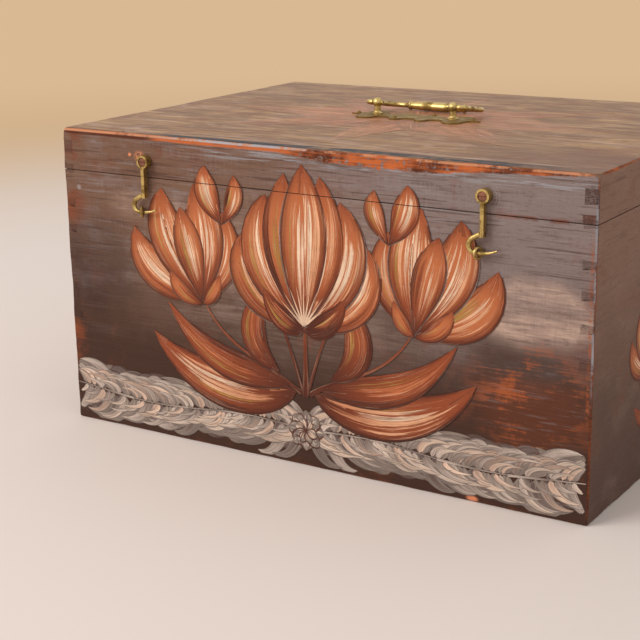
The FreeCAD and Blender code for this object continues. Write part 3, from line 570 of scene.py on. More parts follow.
def edge_lines(t, under):
    """Lines of paint and wood along the lid's front edge, a painted highlight on the edge, and first paint
    down the right corner.
    """
    around = t.behind - t.below
    off_sides = t.ramp(SIDE_X - abs(t.x), "off sides")
    upper_edge = t.ramp(t.behind.most(t.below), "upper edge") * off_sides
    right_part = t.ramp(t.x, "right part")
    left_part = t.ramp(t.x, "left part")
    deep = right_part * (5.0 * MM) + 8.0 * MM + t.wander * (3 * MM)
    slate = upper_edge * t.band(t.x, "slate width") * (t.rough + t.wander * 0.5).between(0.62, 0.72)
    slate = slate * t.ramp(around, "slate") * around.between(deep + 1.2 * MM, deep)
    dark_line = upper_edge * left_part * t.band(around, "dark line") * t.wander.between(0.34, 0.44)
    # A painted highlight along the rounded edge itself.
    rim = upper_edge * t.band(around, "rim") * (t.wander + t.fine * 0.4).between(0.58, 0.68)
    pale_rim = rim * t.band(t.x, "pale rim") * (t.speck + t.wander * 0.5).between(0.66, 0.76)
    under_rim = upper_edge * t.band(around, "under rim") * t.ramp(t.x, "under rim")
    under_rim = under_rim * t.fine.between(0.40, 0.48)
    corner = t.front * t.ramp(t.from_right, "corner line") * t.wander.between(0.42, 0.52)
    return t.over(
        under,
        ("worn_wood", under_rim * (1.0 - left_part)),
        ("worn_dark", (under_rim * left_part).most(dark_line * 0.8)),
        ("rim_light", rim * 0.85),
        ("edge_blue", pale_rim * 0.9),
        ("edge_blue", corner * t.ramp(t.z, "corner line height") * 0.8),
        ("slate", slate),
    )


def small_marks(t, under):
    """Scratches round the right hook's screw, a pale spot, copper specks and a chip near the foot."""
    away = t.join(t.x - HOOK_RING[0], 0.0, t.z - HOOK_RING[1])
    ring = t.node("VectorMath", {0: away}, operation="LENGTH")["Value"]
    turns = t.math("SINE", ring * (2 * math.pi / RING_PITCH) + t.wander * 9)
    scratches = t.front * t.band(ring, "scratches") * turns.between(0.70, 0.95)
    scratches = scratches * (t.blotch + t.speck * 0.3).between(0.62, 0.70) * 0.7
    grit = t.speck - 0.5
    specks = t.front * t.zone("copper specks", grit * 2.4) * t.speck.between(0.44, 0.54)
    specks = specks.most(t.front * t.zone("lone speck", grit))
    chip = t.front * t.zone("chip", (t.wander - 0.5) * 1.5)
    return t.over(
        under,
        ("streak_light", scratches.most(t.front * t.zone("pale spot") * 0.7)),
        ("copper", specks.most(chip)),
    )


def ground_group(place, paints):
    """The old ground paint of the whole box, with its streaks, haze and worn places, and raw wood inside."""
    names = list(BoxGroundPaint.__annotations__)
    group, tree, given, out = shared_group(
        "old ground paint",
        [(name, "colour", getattr(paints, name)) for name in names],
        colour="colour",
        worn="value",
        roughness="value",
        height="value",
    )
    t = GroundTree(group, tree.group(place), given)
    painted = t.over(
        side_face(t),
        (front_face(t), t.front),
        (lid_face(t), t.top),
        ("streak_dark", t.pores.between(0.42, 0.34) * 0.32),
    )
    worn = worn_mask(t)
    finished = small_marks(t, edge_lines(t, wear_over(t, painted, worn)))
    outside = t.ramp(t.depth, "outside") * t.ramp(t.z, "off ground")
    ridges = t.weave * 0.7 + t.rough * 0.3 + t.pores * 0.3 + t.speck * 0.1
    t.feed(out["Colour"], t.over(raw_face(t), (finished, outside)))
    t.feed(out["Worn"], worn)
    t.feed(out["Roughness"], t.weave * 0.18 + 0.40 + worn * 0.16 + (1.0 - outside) * 0.2)
    t.feed(out["Height"], ridges - worn * 0.35 - t.lines.between(0.44, 0.36) * 0.3)
    return group


def end_grain_group():
    """Darkening and relief of end grain, for the pins that show in the front and back."""
    inputs = [("colour", "colour", (0.5, 0.5, 0.5)), ("dark", "colour", (0.1, 0.1, 0.1))]
    group, t, given, out = shared_group("end grain", inputs, colour="colour", height="value")
    place = t.node("TexCoord")["Object"]
    pores = t.noise(place, scale=900, detail=3, roughness=0.7)
    rings = t.noise(t.scaled(place, (220, 220, 1200)), detail=2)
    dark = (pores * 0.6 + rings * 0.4).between(0.58, 0.42)
    t.feed(out["Colour"], t.mix(dark * 0.5 + 0.45, given["colour"], given["dark"]))
    t.feed(out["Height"], pores)
    return group


def bristle_group():
    """Brush marks along a stroke: how much paint is left, its lights and its ridges."""
    group, t, _, out = shared_group("bristle marks", [], cover="value", light="value", ridge="value")
    along, across, cover = t.split(t.node("Attribute", attribute_name="bristle")["Vector"])
    marks = t.noise(t.join(along * 0.03, across * 1.2, 0.0), detail=5, roughness=0.7)
    coarse = t.noise(t.join(along * 0.015, across * 0.42, 3.0), detail=2, roughness=0.5) - 0.5
    t.feed(out["Cover"], (cover + (marks - 0.5) * 1.7 + coarse * 0.9).between(0.36, 0.62))
    t.feed(out["Light"], marks + coarse * 0.6)
    t.feed(out["Ridge"], marks)
    return group


def tarnish_group():
    """Tarnish and rubbing of old metal."""
    inputs = [("metal", "colour", (0.5, 0.4, 0.2)), ("tarnish", "colour", (0.1, 0.08, 0.03))]
    inputs += [("amount", "value", 0.5)]
    group, t, given, out = shared_group("tarnish", inputs, colour="colour", roughness="value", height="value")
    place = t.node("TexCoord")["Object"]
    grit = t.noise(place, scale=900, detail=3, roughness=0.7)
    spots = t.noise(place, scale=120, detail=4, roughness=0.65) * 0.7 + grit * 0.3
    level = 0.72 - given["amount"] * 0.4
    stained = 1.0 - spots.between(level, level - 0.16)
    t.feed(out["Colour"], t.mix(stained, given["metal"], given["tarnish"]))
    t.feed(out["Roughness"], stained * 0.26 + 0.32 + grit * 0.12)
    t.feed(out["Height"], spots)
    return group


GROUPS = {}


def groups(settings):
    """The shared node groups, built once."""
    if not GROUPS:
        GROUPS["ground"] = ground_group(place_group(), settings.ground)
        GROUPS["end grain"] = end_grain_group()
        GROUPS["bristle"] = bristle_group()
        GROUPS["tarnish"] = tarnish_group()
    return GROUPS


def new_material(name, **constants):
    """A material, its tree and its shader, with the shader's constants set by name."""
    material = bpy.data.materials.new(name)
    material.use_nodes = True
    shader = material.node_tree.nodes["Principled BSDF"]
    for title, value in constants.items():
        shader.inputs[title.replace("_", " ")].default_value = value
    return material, Tree(material.node_tree), shader


def add_bump(t, shader, height, distance):
    bump = t.node("Bump", {"Height": height, "Distance": distance, "Strength": 1.0})
    t.feed(shader.inputs["Normal"], bump["Normal"])


def painted_wood(settings, pins):
    """The ground paint on wood. On the side boards the pins that show in front and back are end grain."""
    name = "painted side boards" if pins else "painted boards"
    if name in bpy.data.materials:
        return bpy.data.materials[name]
    shared = groups(settings)
    material, t, shader = new_material(name, Specular_IOR_Level=PAINT_GLOSS)
    ground = t.group(shared["ground"])
    colour, height = ground["Colour"], ground["Height"]
    if pins:
        x, y, z = t.split(t.node("TexCoord")["Object"])
        ends = abs(y).between(BACK_Y - 1.2 * MM, BACK_Y - 0.3 * MM)
        grain = t.group(shared["end grain"], colour=colour, dark=settings.ground.streak_dark)
        upper = z.between(0.232, 0.236) * x.between(0.0, 0.1)
        colour = t.mix(ends * (upper * 0.4 + 0.6), colour, grain["Colour"])
        height = height + grain["Height"] * ends * 0.6
    t.feed(shader.inputs["Base Color"], colour)
    t.feed(shader.inputs["Roughness"], ground["Roughness"])
    add_bump(t, shader, height, 0.35 * MM)
    return material


def stroke_paint(settings):
    """Brush strokes. Where a stroke is thin or worn, the ground paint of that place shows."""
    name = "brush strokes"
    if name in bpy.data.materials:
        return bpy.data.materials[name]
    shared = groups(settings)
    material, t, shader = new_material(name, Specular_IOR_Level=PAINT_GLOSS)
    ground = t.group(shared["ground"])
    bristle = t.group(shared["bristle"])
    light = bristle["Light"]
    coat = t.node("Attribute", attribute_name="coat")
    mottle = t.noise(t.node("TexCoord")["Object"], scale=55, detail=6, roughness=0.65, distortion=0.4)
    tint = mottle * 0.76 + 0.62
    own = t.node("Attribute", attribute_name="paint")["Color"]
    laid = t.mix(1.0, own, t.join(tint, tint, tint), "MULTIPLY")
    laid = t.mix(light.between(0.60, 0.30) * 0.52, laid, settings.brush.umber)
    laid = t.mix(light.between(0.54, 0.78) * 0.40, laid, settings.brush.cream)
    kept = 1.0 - ground["Worn"] * 0.9
    cover = bristle["Cover"] * kept
    below = t.mix(coat["Alpha"] * kept, ground["Colour"], coat["Color"])
    t.feed(shader.inputs["Base Color"], t.mix(cover, below, laid))
    t.feed(shader.inputs["Roughness"], (1.0 - cover) * ground["Roughness"] + cover * 0.46)
    add_bump(t, shader, ground["Height"] * (1.0 - cover * 0.6) + bristle["Ridge"] * cover, 0.35 * MM)
    return material


def old_metal(settings, name, metal, tarnish, amount, metallic=1.0):
    """Old metal with tarnish in blotches."""
    material, t, shader = new_material(name, Metallic=metallic)
    stain = t.group(groups(settings)["tarnish"], metal=metal, tarnish=tarnish, amount=amount)
    t.feed(shader.inputs["Base Color"], stain["Colour"])
    t.feed(shader.inputs["Roughness"], stain["Roughness"])
    add_bump(t, shader, stain["Height"], 0.12 * MM)
    return material


def finish_nodes(material, *names):
    """Gives CAD nodes their finish."""
    for name in names:
        mesh = NODES[name].data
        mesh.materials.clear()
        mesh.materials.append(material)


def add_object(name, data):
    made = bpy.data.objects.new(name, data)
    bpy.context.scene.collection.objects.link(made)
    return made


def add_piece(name, mesh, material, body):
    """Turns a mesh into a smooth piece that rides on a body."""
    data = bpy.data.meshes.new(name)
    mesh.to_mesh(data)
    mesh.free()
    for polygon in data.polygons:
        polygon.use_smooth = True
    data.materials.append(material)
    piece = add_object(name, data)
    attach(piece, body)
    return piece


def cut_across(mesh, axis, place, **cleared):
    """Cuts a mesh by the plane at a place on an axis, and clears a side of it if asked."""
    normal = Vector((0, 0, 0))
    normal[axis] = 1
    whole = mesh.verts[:] + mesh.edges[:] + mesh.faces[:]
    bmesh.ops.bisect_plane(mesh, geom=whole, plane_co=normal * place, plane_no=normal, **cleared)


class Curve:
    """A Bezier curve of 2 to 4 points through a face, in millimetres."""

    FINE = 48

    def __init__(self, points):
        points = [Vector(point) for point in points]
        while len(points) < 4:
            last = len(points)
            middle = [points[k - 1].lerp(points[k], 1 - k / last) for k in range(1, last)]
            points = [points[0], *middle, points[-1]]
        self.spots = interpolate_bezier(*points, self.FINE + 1)
        self.length = sum((b - a).length for a, b in zip(self.spots, self.spots[1:]))

    def at(self, t):
        """The point at t from 0 to 1, and the unit normal there."""
        place = min(max(t, 0), 1) * self.FINE
        step = min(int(place), self.FINE - 1)
        start, end = self.spots[step], self.spots[step + 1]
        way = (end - start).normalized()
        return start.lerp(end, place - step), Vector((-way.y, way.x))


# How wide each shape is at t from 0 to 1 along it.
WIDTHS = {
    "leaf": lambda t: math.sin(math.pi * t**0.85) ** 0.8,
    "petal": lambda t: math.sin(math.pi * t**1.25) ** 0.7,
    "comma": lambda t: min(1.0, t / 0.14) ** 0.5 * (1 - t) ** 0.65,
    "stem": lambda t: 0.35 + 0.65 * (1 - t),
}

# The axis that a face is flat along, and the place of a point on it, given in millimetres.
FACES = {
    "front": (1, lambda a, b, lift: Vector((a * MM, FRONT_Y - lift * MM, b * MM))),
    "right": (0, lambda a, b, lift: Vector((SIDE_X + (lift - SIDE_SUNK) * MM, a * MM, b * MM))),
    "left": (0, lambda a, b, lift: Vector((-SIDE_X - (lift - SIDE_SUNK) * MM, -a * MM, b * MM))),
    "top": (2, lambda a, b, lift: Vector((a * MM, b * MM, TOP_Z + lift * MM))),
}

# Lifts of the paint off a face, in millimetres.
FIRST_LIFT = 0.02
LAYER = 0.001
CROWN = 0.006
SHINGLE = 0.05
PASS_GAP = 0.012
LOWER_BARB = 0.004

OUTLINE_WIDTH = 1.10
OUTLINE_DROP = Vector((0.0, -0.9))
STRAND_LOAD = 0.85
STRAND_SPREAD = 2.3


def along(colours, t):
    """The colour at t of a run of colours."""
    share = min(max(t, 0), 1) * (len(colours) - 1)
    step = min(int(share), len(colours) - 2)
    return Vector(colours[step]).lerp(Vector(colours[step + 1]), share - step)


def blend(a, b, share):
    return tuple(Vector(a).lerp(Vector(b), share))


def within(curve, width, shape, t, s):
    """A point of a shape that is laid along a curve: t along it, s across it from -0.5 to 0.5."""
    spot, normal = curve.at(t)
    return spot + normal * (s * width * WIDTHS[shape](min(max(t, 0.0), 1.0)))


class Brush:
    """Lays strokes on a face. Each is a thin grid of paint with its own colour, bristle marks and cover."""

    def __init__(self, face, seed, lift=FIRST_LIFT):
        self.mesh = bmesh.new()
        self.paint = self.mesh.verts.layers.float_color.new("paint")
        self.coat = self.mesh.verts.layers.float_color.new("coat")
        self.bristle = self.mesh.verts.layers.float_vector.new("bristle")
        self.flat, self.spot = FACES[face]
        self.random = random.Random(seed)
        self.lift = lift

    def lay(self, place, size, colours, cover, grid, coat=None, crown=CROWN, rise=0.0):
        """One patch, whose colours run along it: place(t, s) is a point of it and cover(t, s) how full it is.

        coat(t, s) is the colour and cover of the paint below it, and rise is how far its end is lifted.
        """
        before = len(self.mesh.verts)
        bmesh.ops.create_grid(self.mesh, x_segments=grid[0], y_segments=grid[1], size=0.5)
        self.mesh.verts.ensure_lookup_table()
        offset = self.random.uniform(0, 400)
        tone = 1 + self.random.uniform(-0.10, 0.10)
        for vert in self.mesh.verts[before:]:
            t, s = vert.co.x + 0.5, vert.co.y
            spot = place(t, s)
            vert[self.paint] = (*(along(colours, t) * tone), 1)
            vert[self.coat] = coat(t, s) if coat else (0, 0, 0, 0)
            vert[self.bristle] = (t * size[0] + offset, s * size[1] + offset, cover(t, s))
            ridge = crown * (1 - 4 * s * s) * min(1, 6 * t, 6 * (1 - t))
            vert.co = self.spot(spot.x, spot.y, self.lift + ridge + rise * t)
        self.lift += LAYER

    def stroke(self, points, width, colours, shape="leaf", load=1.0, dry=0.5, steps=12, rise=0.0, coat=None):
        """A single stroke along a Bezier curve. It runs dry towards its end, where a coat below it shows."""
        curve = Curve(points)

        def place(t, s):
            return within(curve, width, shape, t, s)

        def cover(t, s):
            return load * (1 - dry * t * t) * (1 - 0.75 * abs(2 * s) ** 3)

        def below(t, s):
            return (*coat, 1)

        self.lay(place, (curve.length, width), colours, cover, (steps, 4), coat=coat and below, rise=rise)

    def leaf(self, points, width, base, strands, count, shape="leaf"):
        """A leaf or petal: a dark outline, a full base coat, then fanned strands of other colours."""
        curve = Curve(points)
        size = (curve.length, width)
        dark = base[0]
        spread = STRAND_SPREAD / count

        def outline(t, s):
            return within(curve, width * OUTLINE_WIDTH, shape, 1.02 * t - 0.01, s) + OUTLINE_DROP

        def middle(t, s):
            return within(curve, width, shape, t, s)

        def full(t, s):
            return 1.3 - 0.9 * abs(2 * s) ** 8

        self.lay(outline, size, [dark, dark], lambda t, s: 0.95 - 0.7 * abs(2 * s) ** 3, (14, 4), crown=0)
        self.lay(middle, size, base, full, (14, 6), coat=lambda t, s: (*dark, 1), crown=0)
        order = list(range(count))
        self.random.shuffle(order)
        for number in order:
            lane = (number + 0.5) / count - 0.5 + self.random.uniform(-0.4, 0.4) / count
            start = self.random.uniform(0.0, 0.22)
            reach = self.random.uniform(0.78, 0.99) - start
            loaded = STRAND_LOAD * self.random.uniform(0.6, 1.1)
            colours = strands[min(int((lane + 0.5) * len(strands)), len(strands) - 1)]

            def strand(t, s):
                return within(curve, width, shape, start + reach * t, lane + s * spread)

            def cover(t, s):
                return loaded * (1 - 0.9 * abs(2 * t - 1) ** 3) * (1 - 0.7 * abs(2 * s) ** 2)

            def below(t, s):
                inner = 1 - min(1.0, abs(2 * (lane + s * spread))) ** 6
                return (*Vector(dark).lerp(along(base, start + reach * t), inner), 1)

            self.lay(strand, (curve.length * reach, width * spread), colours, cover, (12, 2), coat=below)
        self.lift += CROWN

    def both(self, draw, points, *values, **options):
        """Draws the curve and its mirror image at the same height."""
        level = self.lift
        draw(points, *values, **options)
        self.lift = level
        draw([(-a, b) for a, b in points], *values, **options)

    def piece(self, name, body, low=0.0, high=TOP_Z):
        """The strokes as a piece of one body, cut off at the face's edges and outside the two heights."""
        mesh = self.mesh.copy()
        for axis in {0, 1, 2} - {self.flat}:
            lowest, highest = BOX_LOW[axis] + RIM, BOX_HIGH[axis] - RIM
            if axis == 2:
                lowest, highest = max(lowest, low), min(highest, high)
            cut_across(mesh, axis, lowest, clear_inner=True)
            cut_across(mesh, axis, highest, clear_outer=True)
        add_piece(name, mesh, stroke_paint(bpy.context.scene.wooden_box), body)


def colours_of(paints, *names):
    return [tuple(getattr(paints, name)) for name in names]


def spray(brush, paints, foot, scale):
    """A symmetrical spray of flowers: stems, long leaves, two side blooms and a tall middle bloom."""
    umber, rust, copper, gold = colours_of(paints, "umber", "rust", "copper", "gold")
    peach, cream = colours_of(paints, "peach", "cream")
    deep = [[umber, umber, rust], [umber, rust, copper], [rust, copper, copper]]
    deep += [[rust, gold, copper], [umber, rust, rust]]
    warm = [[umber, rust, copper], [copper, peach, copper], [copper, peach, peach], [copper, cream, peach]]
    warm += [[copper, peach, cream], [rust, gold, copper], [umber, rust, copper], [umber, umber, rust]]
    lit = [[umber, rust, peach], [copper, peach, peach], [copper, cream, cream], [peach, cream, peach]]
    lit += [[copper, cream, cream], [copper, peach, peach], [rust, gold, peach], [umber, rust, copper]]
    petal_coat = [umber, rust, copper, copper, rust]
    leaf_coat = [umber, rust, rust]

    def at(points):
        return [(a * scale, foot + b * scale) for a, b in points]

    def stem(points, width):
        brush.both(brush.stroke, at(points), width * scale, [umber, rust], "stem", dry=0.2, steps=18)

    def pairs(shapes, count, coat, kind):
        for points, width, strands in shapes:
            brush.both(brush.leaf, at(points), width * scale, coat, strands, count, kind)

    stem([(4, 2), (30, 22), (78, 26), (98, 70)], 4.5)
    stem([(2, 2), (18, 60), (44, 110), (78, 136)], 3.6)
    brush.stroke(at([(0, 0), (1, 40), (0, 70)]), 6 * scale, [umber, rust], "stem", dry=0.1)
    leaves = [
        ([(8, 4), (50, -14), (112, -8), (150, 34)], 34, warm),
        ([(14, 8), (60, 14), (96, 10), (134, 62)], 24, deep),
        ([(24, 18), (60, 34), (52, 66), (30, 88)], 22, deep),
    ]
    pairs(leaves, 11, leaf_coat, "leaf")
    side_blooms = [
        ([(98, 66), (128, 74), (160, 84), (166, 122)], 30, warm),
        ([(98, 66), (78, 88), (66, 110), (76, 142)], 26, warm),
        ([(98, 66), (124, 96), (140, 122), (136, 156)], 34, lit),
        ([(98, 66), (94, 100), (90, 126), (104, 162)], 36, lit),
        ([(98, 66), (106, 96), (112, 116), (118, 142)], 26, warm),
        ([(98, 64), (110, 64), (124, 72), (130, 88)], 13, deep),
        ([(98, 64), (92, 66), (84, 74), (80, 90)], 11, deep),
    ]
    pairs(side_blooms, 11, petal_coat, "petal")
    buds = [
        ([(76, 132), (88, 146), (94, 160), (92, 178)], 20, lit),
        ([(76, 132), (66, 146), (60, 156), (64, 172)], 15, warm),
    ]
    pairs(buds, 8, petal_coat, "petal")
    middle_bloom = [
        ([(0, 58), (34, 66), (62, 92), (56, 128)], 34, warm),
        ([(0, 58), (30, 84), (48, 118), (34, 160)], 38, lit),
        ([(0, 60), (12, 92), (26, 130), (16, 178)], 34, warm),
    ]
    pairs(middle_bloom, 13, petal_coat, "petal")
    brush.leaf(at([(0, 56), (-3, 100), (3, 140), (0, 186)]), 40 * scale, petal_coat, lit, 16, "petal")
    pairs([([(0, 54), (16, 56), (30, 66), (38, 86)], 16, deep)], 7, [umber, umber, rust], "leaf")
    for number in range(9):
        angle = math.radians(90 + (number - 4) * 13)
        tip = (math.cos(angle) * 30, 58 + math.sin(angle) * 34)
        brush.stroke(at([(0, 58), tip]), 2.2 * scale, [cream, peach], "comma", dry=0.3, steps=6)


def garland(brush, paints, level, half, tall):
    """Two long fronds out of a rosette, each with four passes of barbs and a spine over them."""
    grey, dark, pale = colours_of(paints, "leaf_grey", "leaf_dark", "leaf_pale")
    peach, light, umber = colours_of(paints, "peach", "cream", "umber")
    blush, cream, wash = blend(pale, peach, 0.4), blend(pale, light, 0.5), blend(dark, grey, 0.45)
    chance = brush.random

    def middle(a):
        return level + 3.5 * math.sin(a / 33)

    def barb(a, up, reach, wide, colours, load, lean, coat):
        lean = math.radians(lean + chance.uniform(-11, 11))
        out, rise = reach * math.cos(lean), up * reach * math.sin(lean)
        root = middle(a) + up * 0.5
        points = [
            (a, root),
            (a + 0.04 * reach, root + 0.60 * rise),
            (a + 0.60 * out, root + rise),
            (min(a + out * chance.uniform(1.1, 1.5), half), root + chance.uniform(0.7, 0.95) * rise),
        ]
        brush.both(brush.stroke, points, wide, colours, "comma", load=load, dry=0.3, rise=SHINGLE, coat=coat)

    pale_barbs = ((grey, pale, cream), (blush, cream), (pale, cream), (grey, blush), (grey, pale))
    # Pitch, width, reach, load, lean, colours and coat of each pass.
    passes = (
        (12.0, 19.0, tall * 0.72, 1.0, 44, ((dark, dark), (dark, grey), (umber, dark)), None),
        (10.0, 13.0, tall * 0.72, 0.95, 46, ((grey, grey), (grey, pale), (dark, grey), (dark, pale)), wash),
        (8.5, 8.5, tall * 0.62, 0.9, 40, pale_barbs, wash),
        (13.0, 6.0, tall * 0.40, 0.9, 34, ((blush, cream), (pale, cream), (grey, pale)), wash),
    )
    for pitch, wide, reach, load, lean, choices, coat in passes:
        lift = brush.lift
        for number in range(int((half - 12) / pitch), -1, -1):
            for up in (1, -1):
                a = 6 + pitch * (number + chance.uniform(-0.4, 0.4))
                brush.lift = lift + (0 if up > 0 else LOWER_BARB)
                size = reach * chance.uniform(0.72, 1.06)
                width = wide * chance.uniform(0.7, 1.25)
                barb(a, up, size, width, chance.choice(choices), load, lean, coat)
        brush.lift = lift + SHINGLE + PASS_GAP
    spans = 4
    for number in range(spans):
        start, end = half * number / spans, half * (number + 1.1) / spans
        stations = [start + (end - start) * share for share in (0, 1 / 3, 2 / 3, 1)]
        spine = [(a, middle(a)) for a in stations]
        brush.both(brush.stroke, spine, 2.2, [pale, grey, pale], "stem", steps=14, coat=wash)
    outer, inner = [[dark, grey, pale], [grey, pale, cream]], [[grey, blush, cream], [grey, cream, pale]]
    for ring, turn, colours in ((17, 0, outer), (11, 22.5, inner)):
        for number in range(8):
            way = math.radians(45 * number + turn)
            tip = (ring * math.cos(way), level + ring * math.sin(way))
            brush.leaf([(0, level), tip], ring * 0.62, [umber, dark, grey], colours, 4, "petal")


def star(brush, paints, reaches, points):
    """A traditional star of pointed rays, each with a light and a shaded half."""
    pink, shade = colours_of(paints, "ray_pink", "ray_shade")
    for number in range(points):
        angle = 2 * math.pi * number / points
        reach = reaches[number % len(reaches)]
        way = Vector((math.cos(angle) * reach[0], math.sin(angle) * reach[1]))
        across = Vector((-way.y, way.x)).normalized()
        wide = way.length * 0.17
        for side, colours in ((1, [pink, pink, shade]), (-1, [shade, pink, pink])):

            def place(t, s):
                swell = min(t / 0.32, (1 - t) / 0.68)
                return way * t + across * (side * (s + 0.5) * wide * swell)

            def cover(t, s):
                return 0.60 * (1 - 0.45 * t)

            brush.lay(place, (way.length, wide), colours, cover, (16, 3), crown=0)


# Wear of the boards in millimetres, with the depths under each face at which a board is cut for it.
MOST_WEAR = 2.8
LEAST_WEAR = 0.6
CORNER_WEAR = 3.2
CORNER_REACH = 9
PLANED = 0.12
EASED = 0.45
WEAR_CUTS = (0.35, 1.0, 2.0, 3.4, 5.0)

# Into how many even steps the box is cut along each axis.
WEAR_STEPS = (40, 30, 22)

# How often its edges and its faces waver in a metre, coarse and fine.
EDGE_WAVES = (45, 140)
FACE_WAVES = (28, 90)


def rounded(point, low, high, radius):
    """The point pulled in where it lies outside a box with rounded edges."""
    inner = Vector(min(max(c, a + radius), b - radius) for c, a, b in zip(point, low, high))
    out = point - inner
    return inner + out * (radius / out.length) if out.length > radius else point


def worn_place(place, lowest, highest):
    """Where wear leaves a point of a board: its faces planed hollow, its edges rounded, its saw cut eased."""
    uneven = noise.noise(place * EDGE_WAVES[0]) + 0.5 * noise.noise(place * EDGE_WAVES[1])
    from_corner = Vector((SIDE_X - abs(place.x), place.y - FRONT_Y, TOP_Z - place.z)).length
    knocked = CORNER_WEAR * max(0.0, 1 - from_corner / (CORNER_REACH * MM))
    radius = (max(MOST_WEAR * (0.62 + 0.62 * uneven), LEAST_WEAR) + knocked) * MM
    hollow = 0.5 + 0.5 * noise.noise(place * FACE_WAVES[0]) + 0.2 * noise.noise(place * FACE_WAVES[1])
    planed = PLANED * min(max(hollow, 0), 1) * MM
    low = BOX_LOW + Vector((SIDE_SUNK * MM + planed, planed, 0))
    high = BOX_HIGH - Vector((SIDE_SUNK * MM + planed, planed, planed))
    place = Vector(min(max(c, a), b) for c, a, b in zip(place, low, high))
    place = rounded(place, low, high, radius)
    low.z, high.z = lowest, highest
    return rounded(place, low, high, EASED * MM)


def worn_board(settings, name, pins=False):
    """A board as CAD has it, cut fine enough to be worn and planed."""
    source = NODES[name]
    mesh = bmesh.new()
    mesh.from_mesh(source.data)
    bmesh.ops.remove_doubles(mesh, verts=mesh.verts[:], dist=0.002 * MM)
    under_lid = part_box(name)[1].z < SEAM_Z
    saw = RIM_Z if under_lid else LID_RIM_Z
    span = (-1, RIM_Z) if under_lid else (LID_RIM_Z, 1)
    for axis, steps in enumerate(WEAR_STEPS):
        low, high = BOX_LOW[axis], BOX_HIGH[axis]
        sunk = SIDE_SUNK if axis == 0 else 0.0
        ends = ((low, 1), (high, -1))
        places = [end + way * (sunk + depth) * MM for end, way in ends for depth in WEAR_CUTS]
        places += [low + (high - low) * step / steps for step in range(1, steps)]
        if axis == 2:
            places += [saw - EASED * MM, saw + EASED * MM]
        for place in places:
            cut_across(mesh, axis, place)
    for vert in mesh.verts:
        vert.co = worn_place(vert.co.copy(), *span)
    bmesh.ops.remove_doubles(mesh, verts=mesh.verts[:], dist=0.002 * MM)
    bmesh.ops.dissolve_degenerate(mesh, edges=mesh.edges[:], dist=0.001 * MM)
    piece = add_piece(f"{name}_worn", mesh, painted_wood(settings, pins), source["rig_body"])
    piece.data.set_sharp_from_angle(angle=math.radians(38))
    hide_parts(name)


KEY_SIZE = (1.6, 1.2)
KEY_PLACE = (-1.3, -2.0, 1.75)
KEY_AIM = (0, -0.1, 0.12)
KEY_COLOUR = (1.0, 0.96, 0.90)
SKY_COLOUR = (1.0, 0.98, 0.95)


def add_camera(scene, stage):
    camera = bpy.data.cameras.new("camera")
    camera.lens = stage.lens
    camera.sensor_width = 36
    scene.camera = add_object("camera", camera)
    scene.camera.location = stage.eye
    scene.camera.rotation_euler = Euler(stage.turn)


def add_floor(stage):
    """A cloth that turns into the backdrop's even colour far from the box."""
    grid = bmesh.new()
    bmesh.ops.create_grid(grid, x_segments=2, y_segments=2, size=6)
    bmesh.ops.translate(grid, verts=grid.verts[:], vec=(0, 0, -FLOOR_GAP))
    data = bpy.data.meshes.new("floor")
    grid.to_mesh(data)
    grid.free()
    floor = add_object("floor", data)
    constants = {"Roughness": 0.9, "Emission_Strength": 1.0, "Specular_IOR_Level": 0.0}
    material, t, shader = new_material("floor cloth", **constants)
    far = t.node("VectorMath", {0: t.node("TexCoord")["Object"]}, operation="LENGTH")["Value"]
    distant = far.between(1.1, 2.7)
    cloth = t.mix(far.between(0.7, 2.0), stage.floor, stage.backdrop)
    t.feed(shader.inputs["Base Color"], t.mix(distant, cloth, (0, 0, 0)))
    t.feed(shader.inputs["Emission Color"], t.mix(distant, (0, 0, 0), stage.backdrop))
    data.materials.append(material)


def add_key_light(stage):
    light = bpy.data.lights.new("key", "AREA")
    light.energy = stage.key_power
    light.shape = "RECTANGLE"
    light.size, light.size_y = KEY_SIZE
    light.color = KEY_COLOUR
    lamp = add_object("key", light)
    lamp.location = KEY_PLACE
    lamp.rotation_euler = (Vector(KEY_AIM) - lamp.location).to_track_quat("-Z", "Y").to_euler()


def add_sky(scene, stage):
    """Soft light all round. The camera, reflections and glass see it at full strength."""
    world = bpy.data.worlds.new("studio")
    scene.world = world
    world.use_nodes = True
    t = Tree(world.node_tree)
    background = world.node_tree.nodes["Background"]
    path = t.node("LightPath")
    camera = path["Is Camera Ray"]
    seen = camera.most(path["Is Glossy Ray"].most(path["Is Transmission Ray"]))
    t.feed(background.inputs["Color"], t.mix(camera, SKY_COLOUR, stage.backdrop))
    t.feed(background.inputs["Strength"], seen * (1.0 - stage.sky) + stage.sky)


class BOX_OT_stage(bpy.types.Operator):
    """Camera, pale floor and soft light"""

    bl_idname = "wooden_box.stage"
    bl_label = "Stage"

    def execute(self, context):
        scene = context.scene
        scene.view_settings.view_transform = "Standard"
        stage = scene.wooden_box.stage
        add_camera(scene, stage)
        add_floor(stage)
        add_key_light(stage)
        add_sky(scene, stage)
        return {"FINISHED"}


class BOX_OT_boards(bpy.types.Operator):
    """Old paint on the boards, raw wood inside and under the box"""

    bl_idname = "wooden_box.boards"
    bl_label = "Boards"

    def execute(self, context):
        settings = context.scene.wooden_box
        for name in ("front_board", "back_board", "bottom_board"):
            worn_board(settings, name)
        for name in ("lid_front_rail", "lid_back_rail", "lid_top_board"):
            worn_board(settings, name)
        for name in ("left_side_board", "right_side_board", "lid_left_rail", "lid_right_rail"):
            worn_board(settings, name, pins=True)
        return {"FINISHED"}


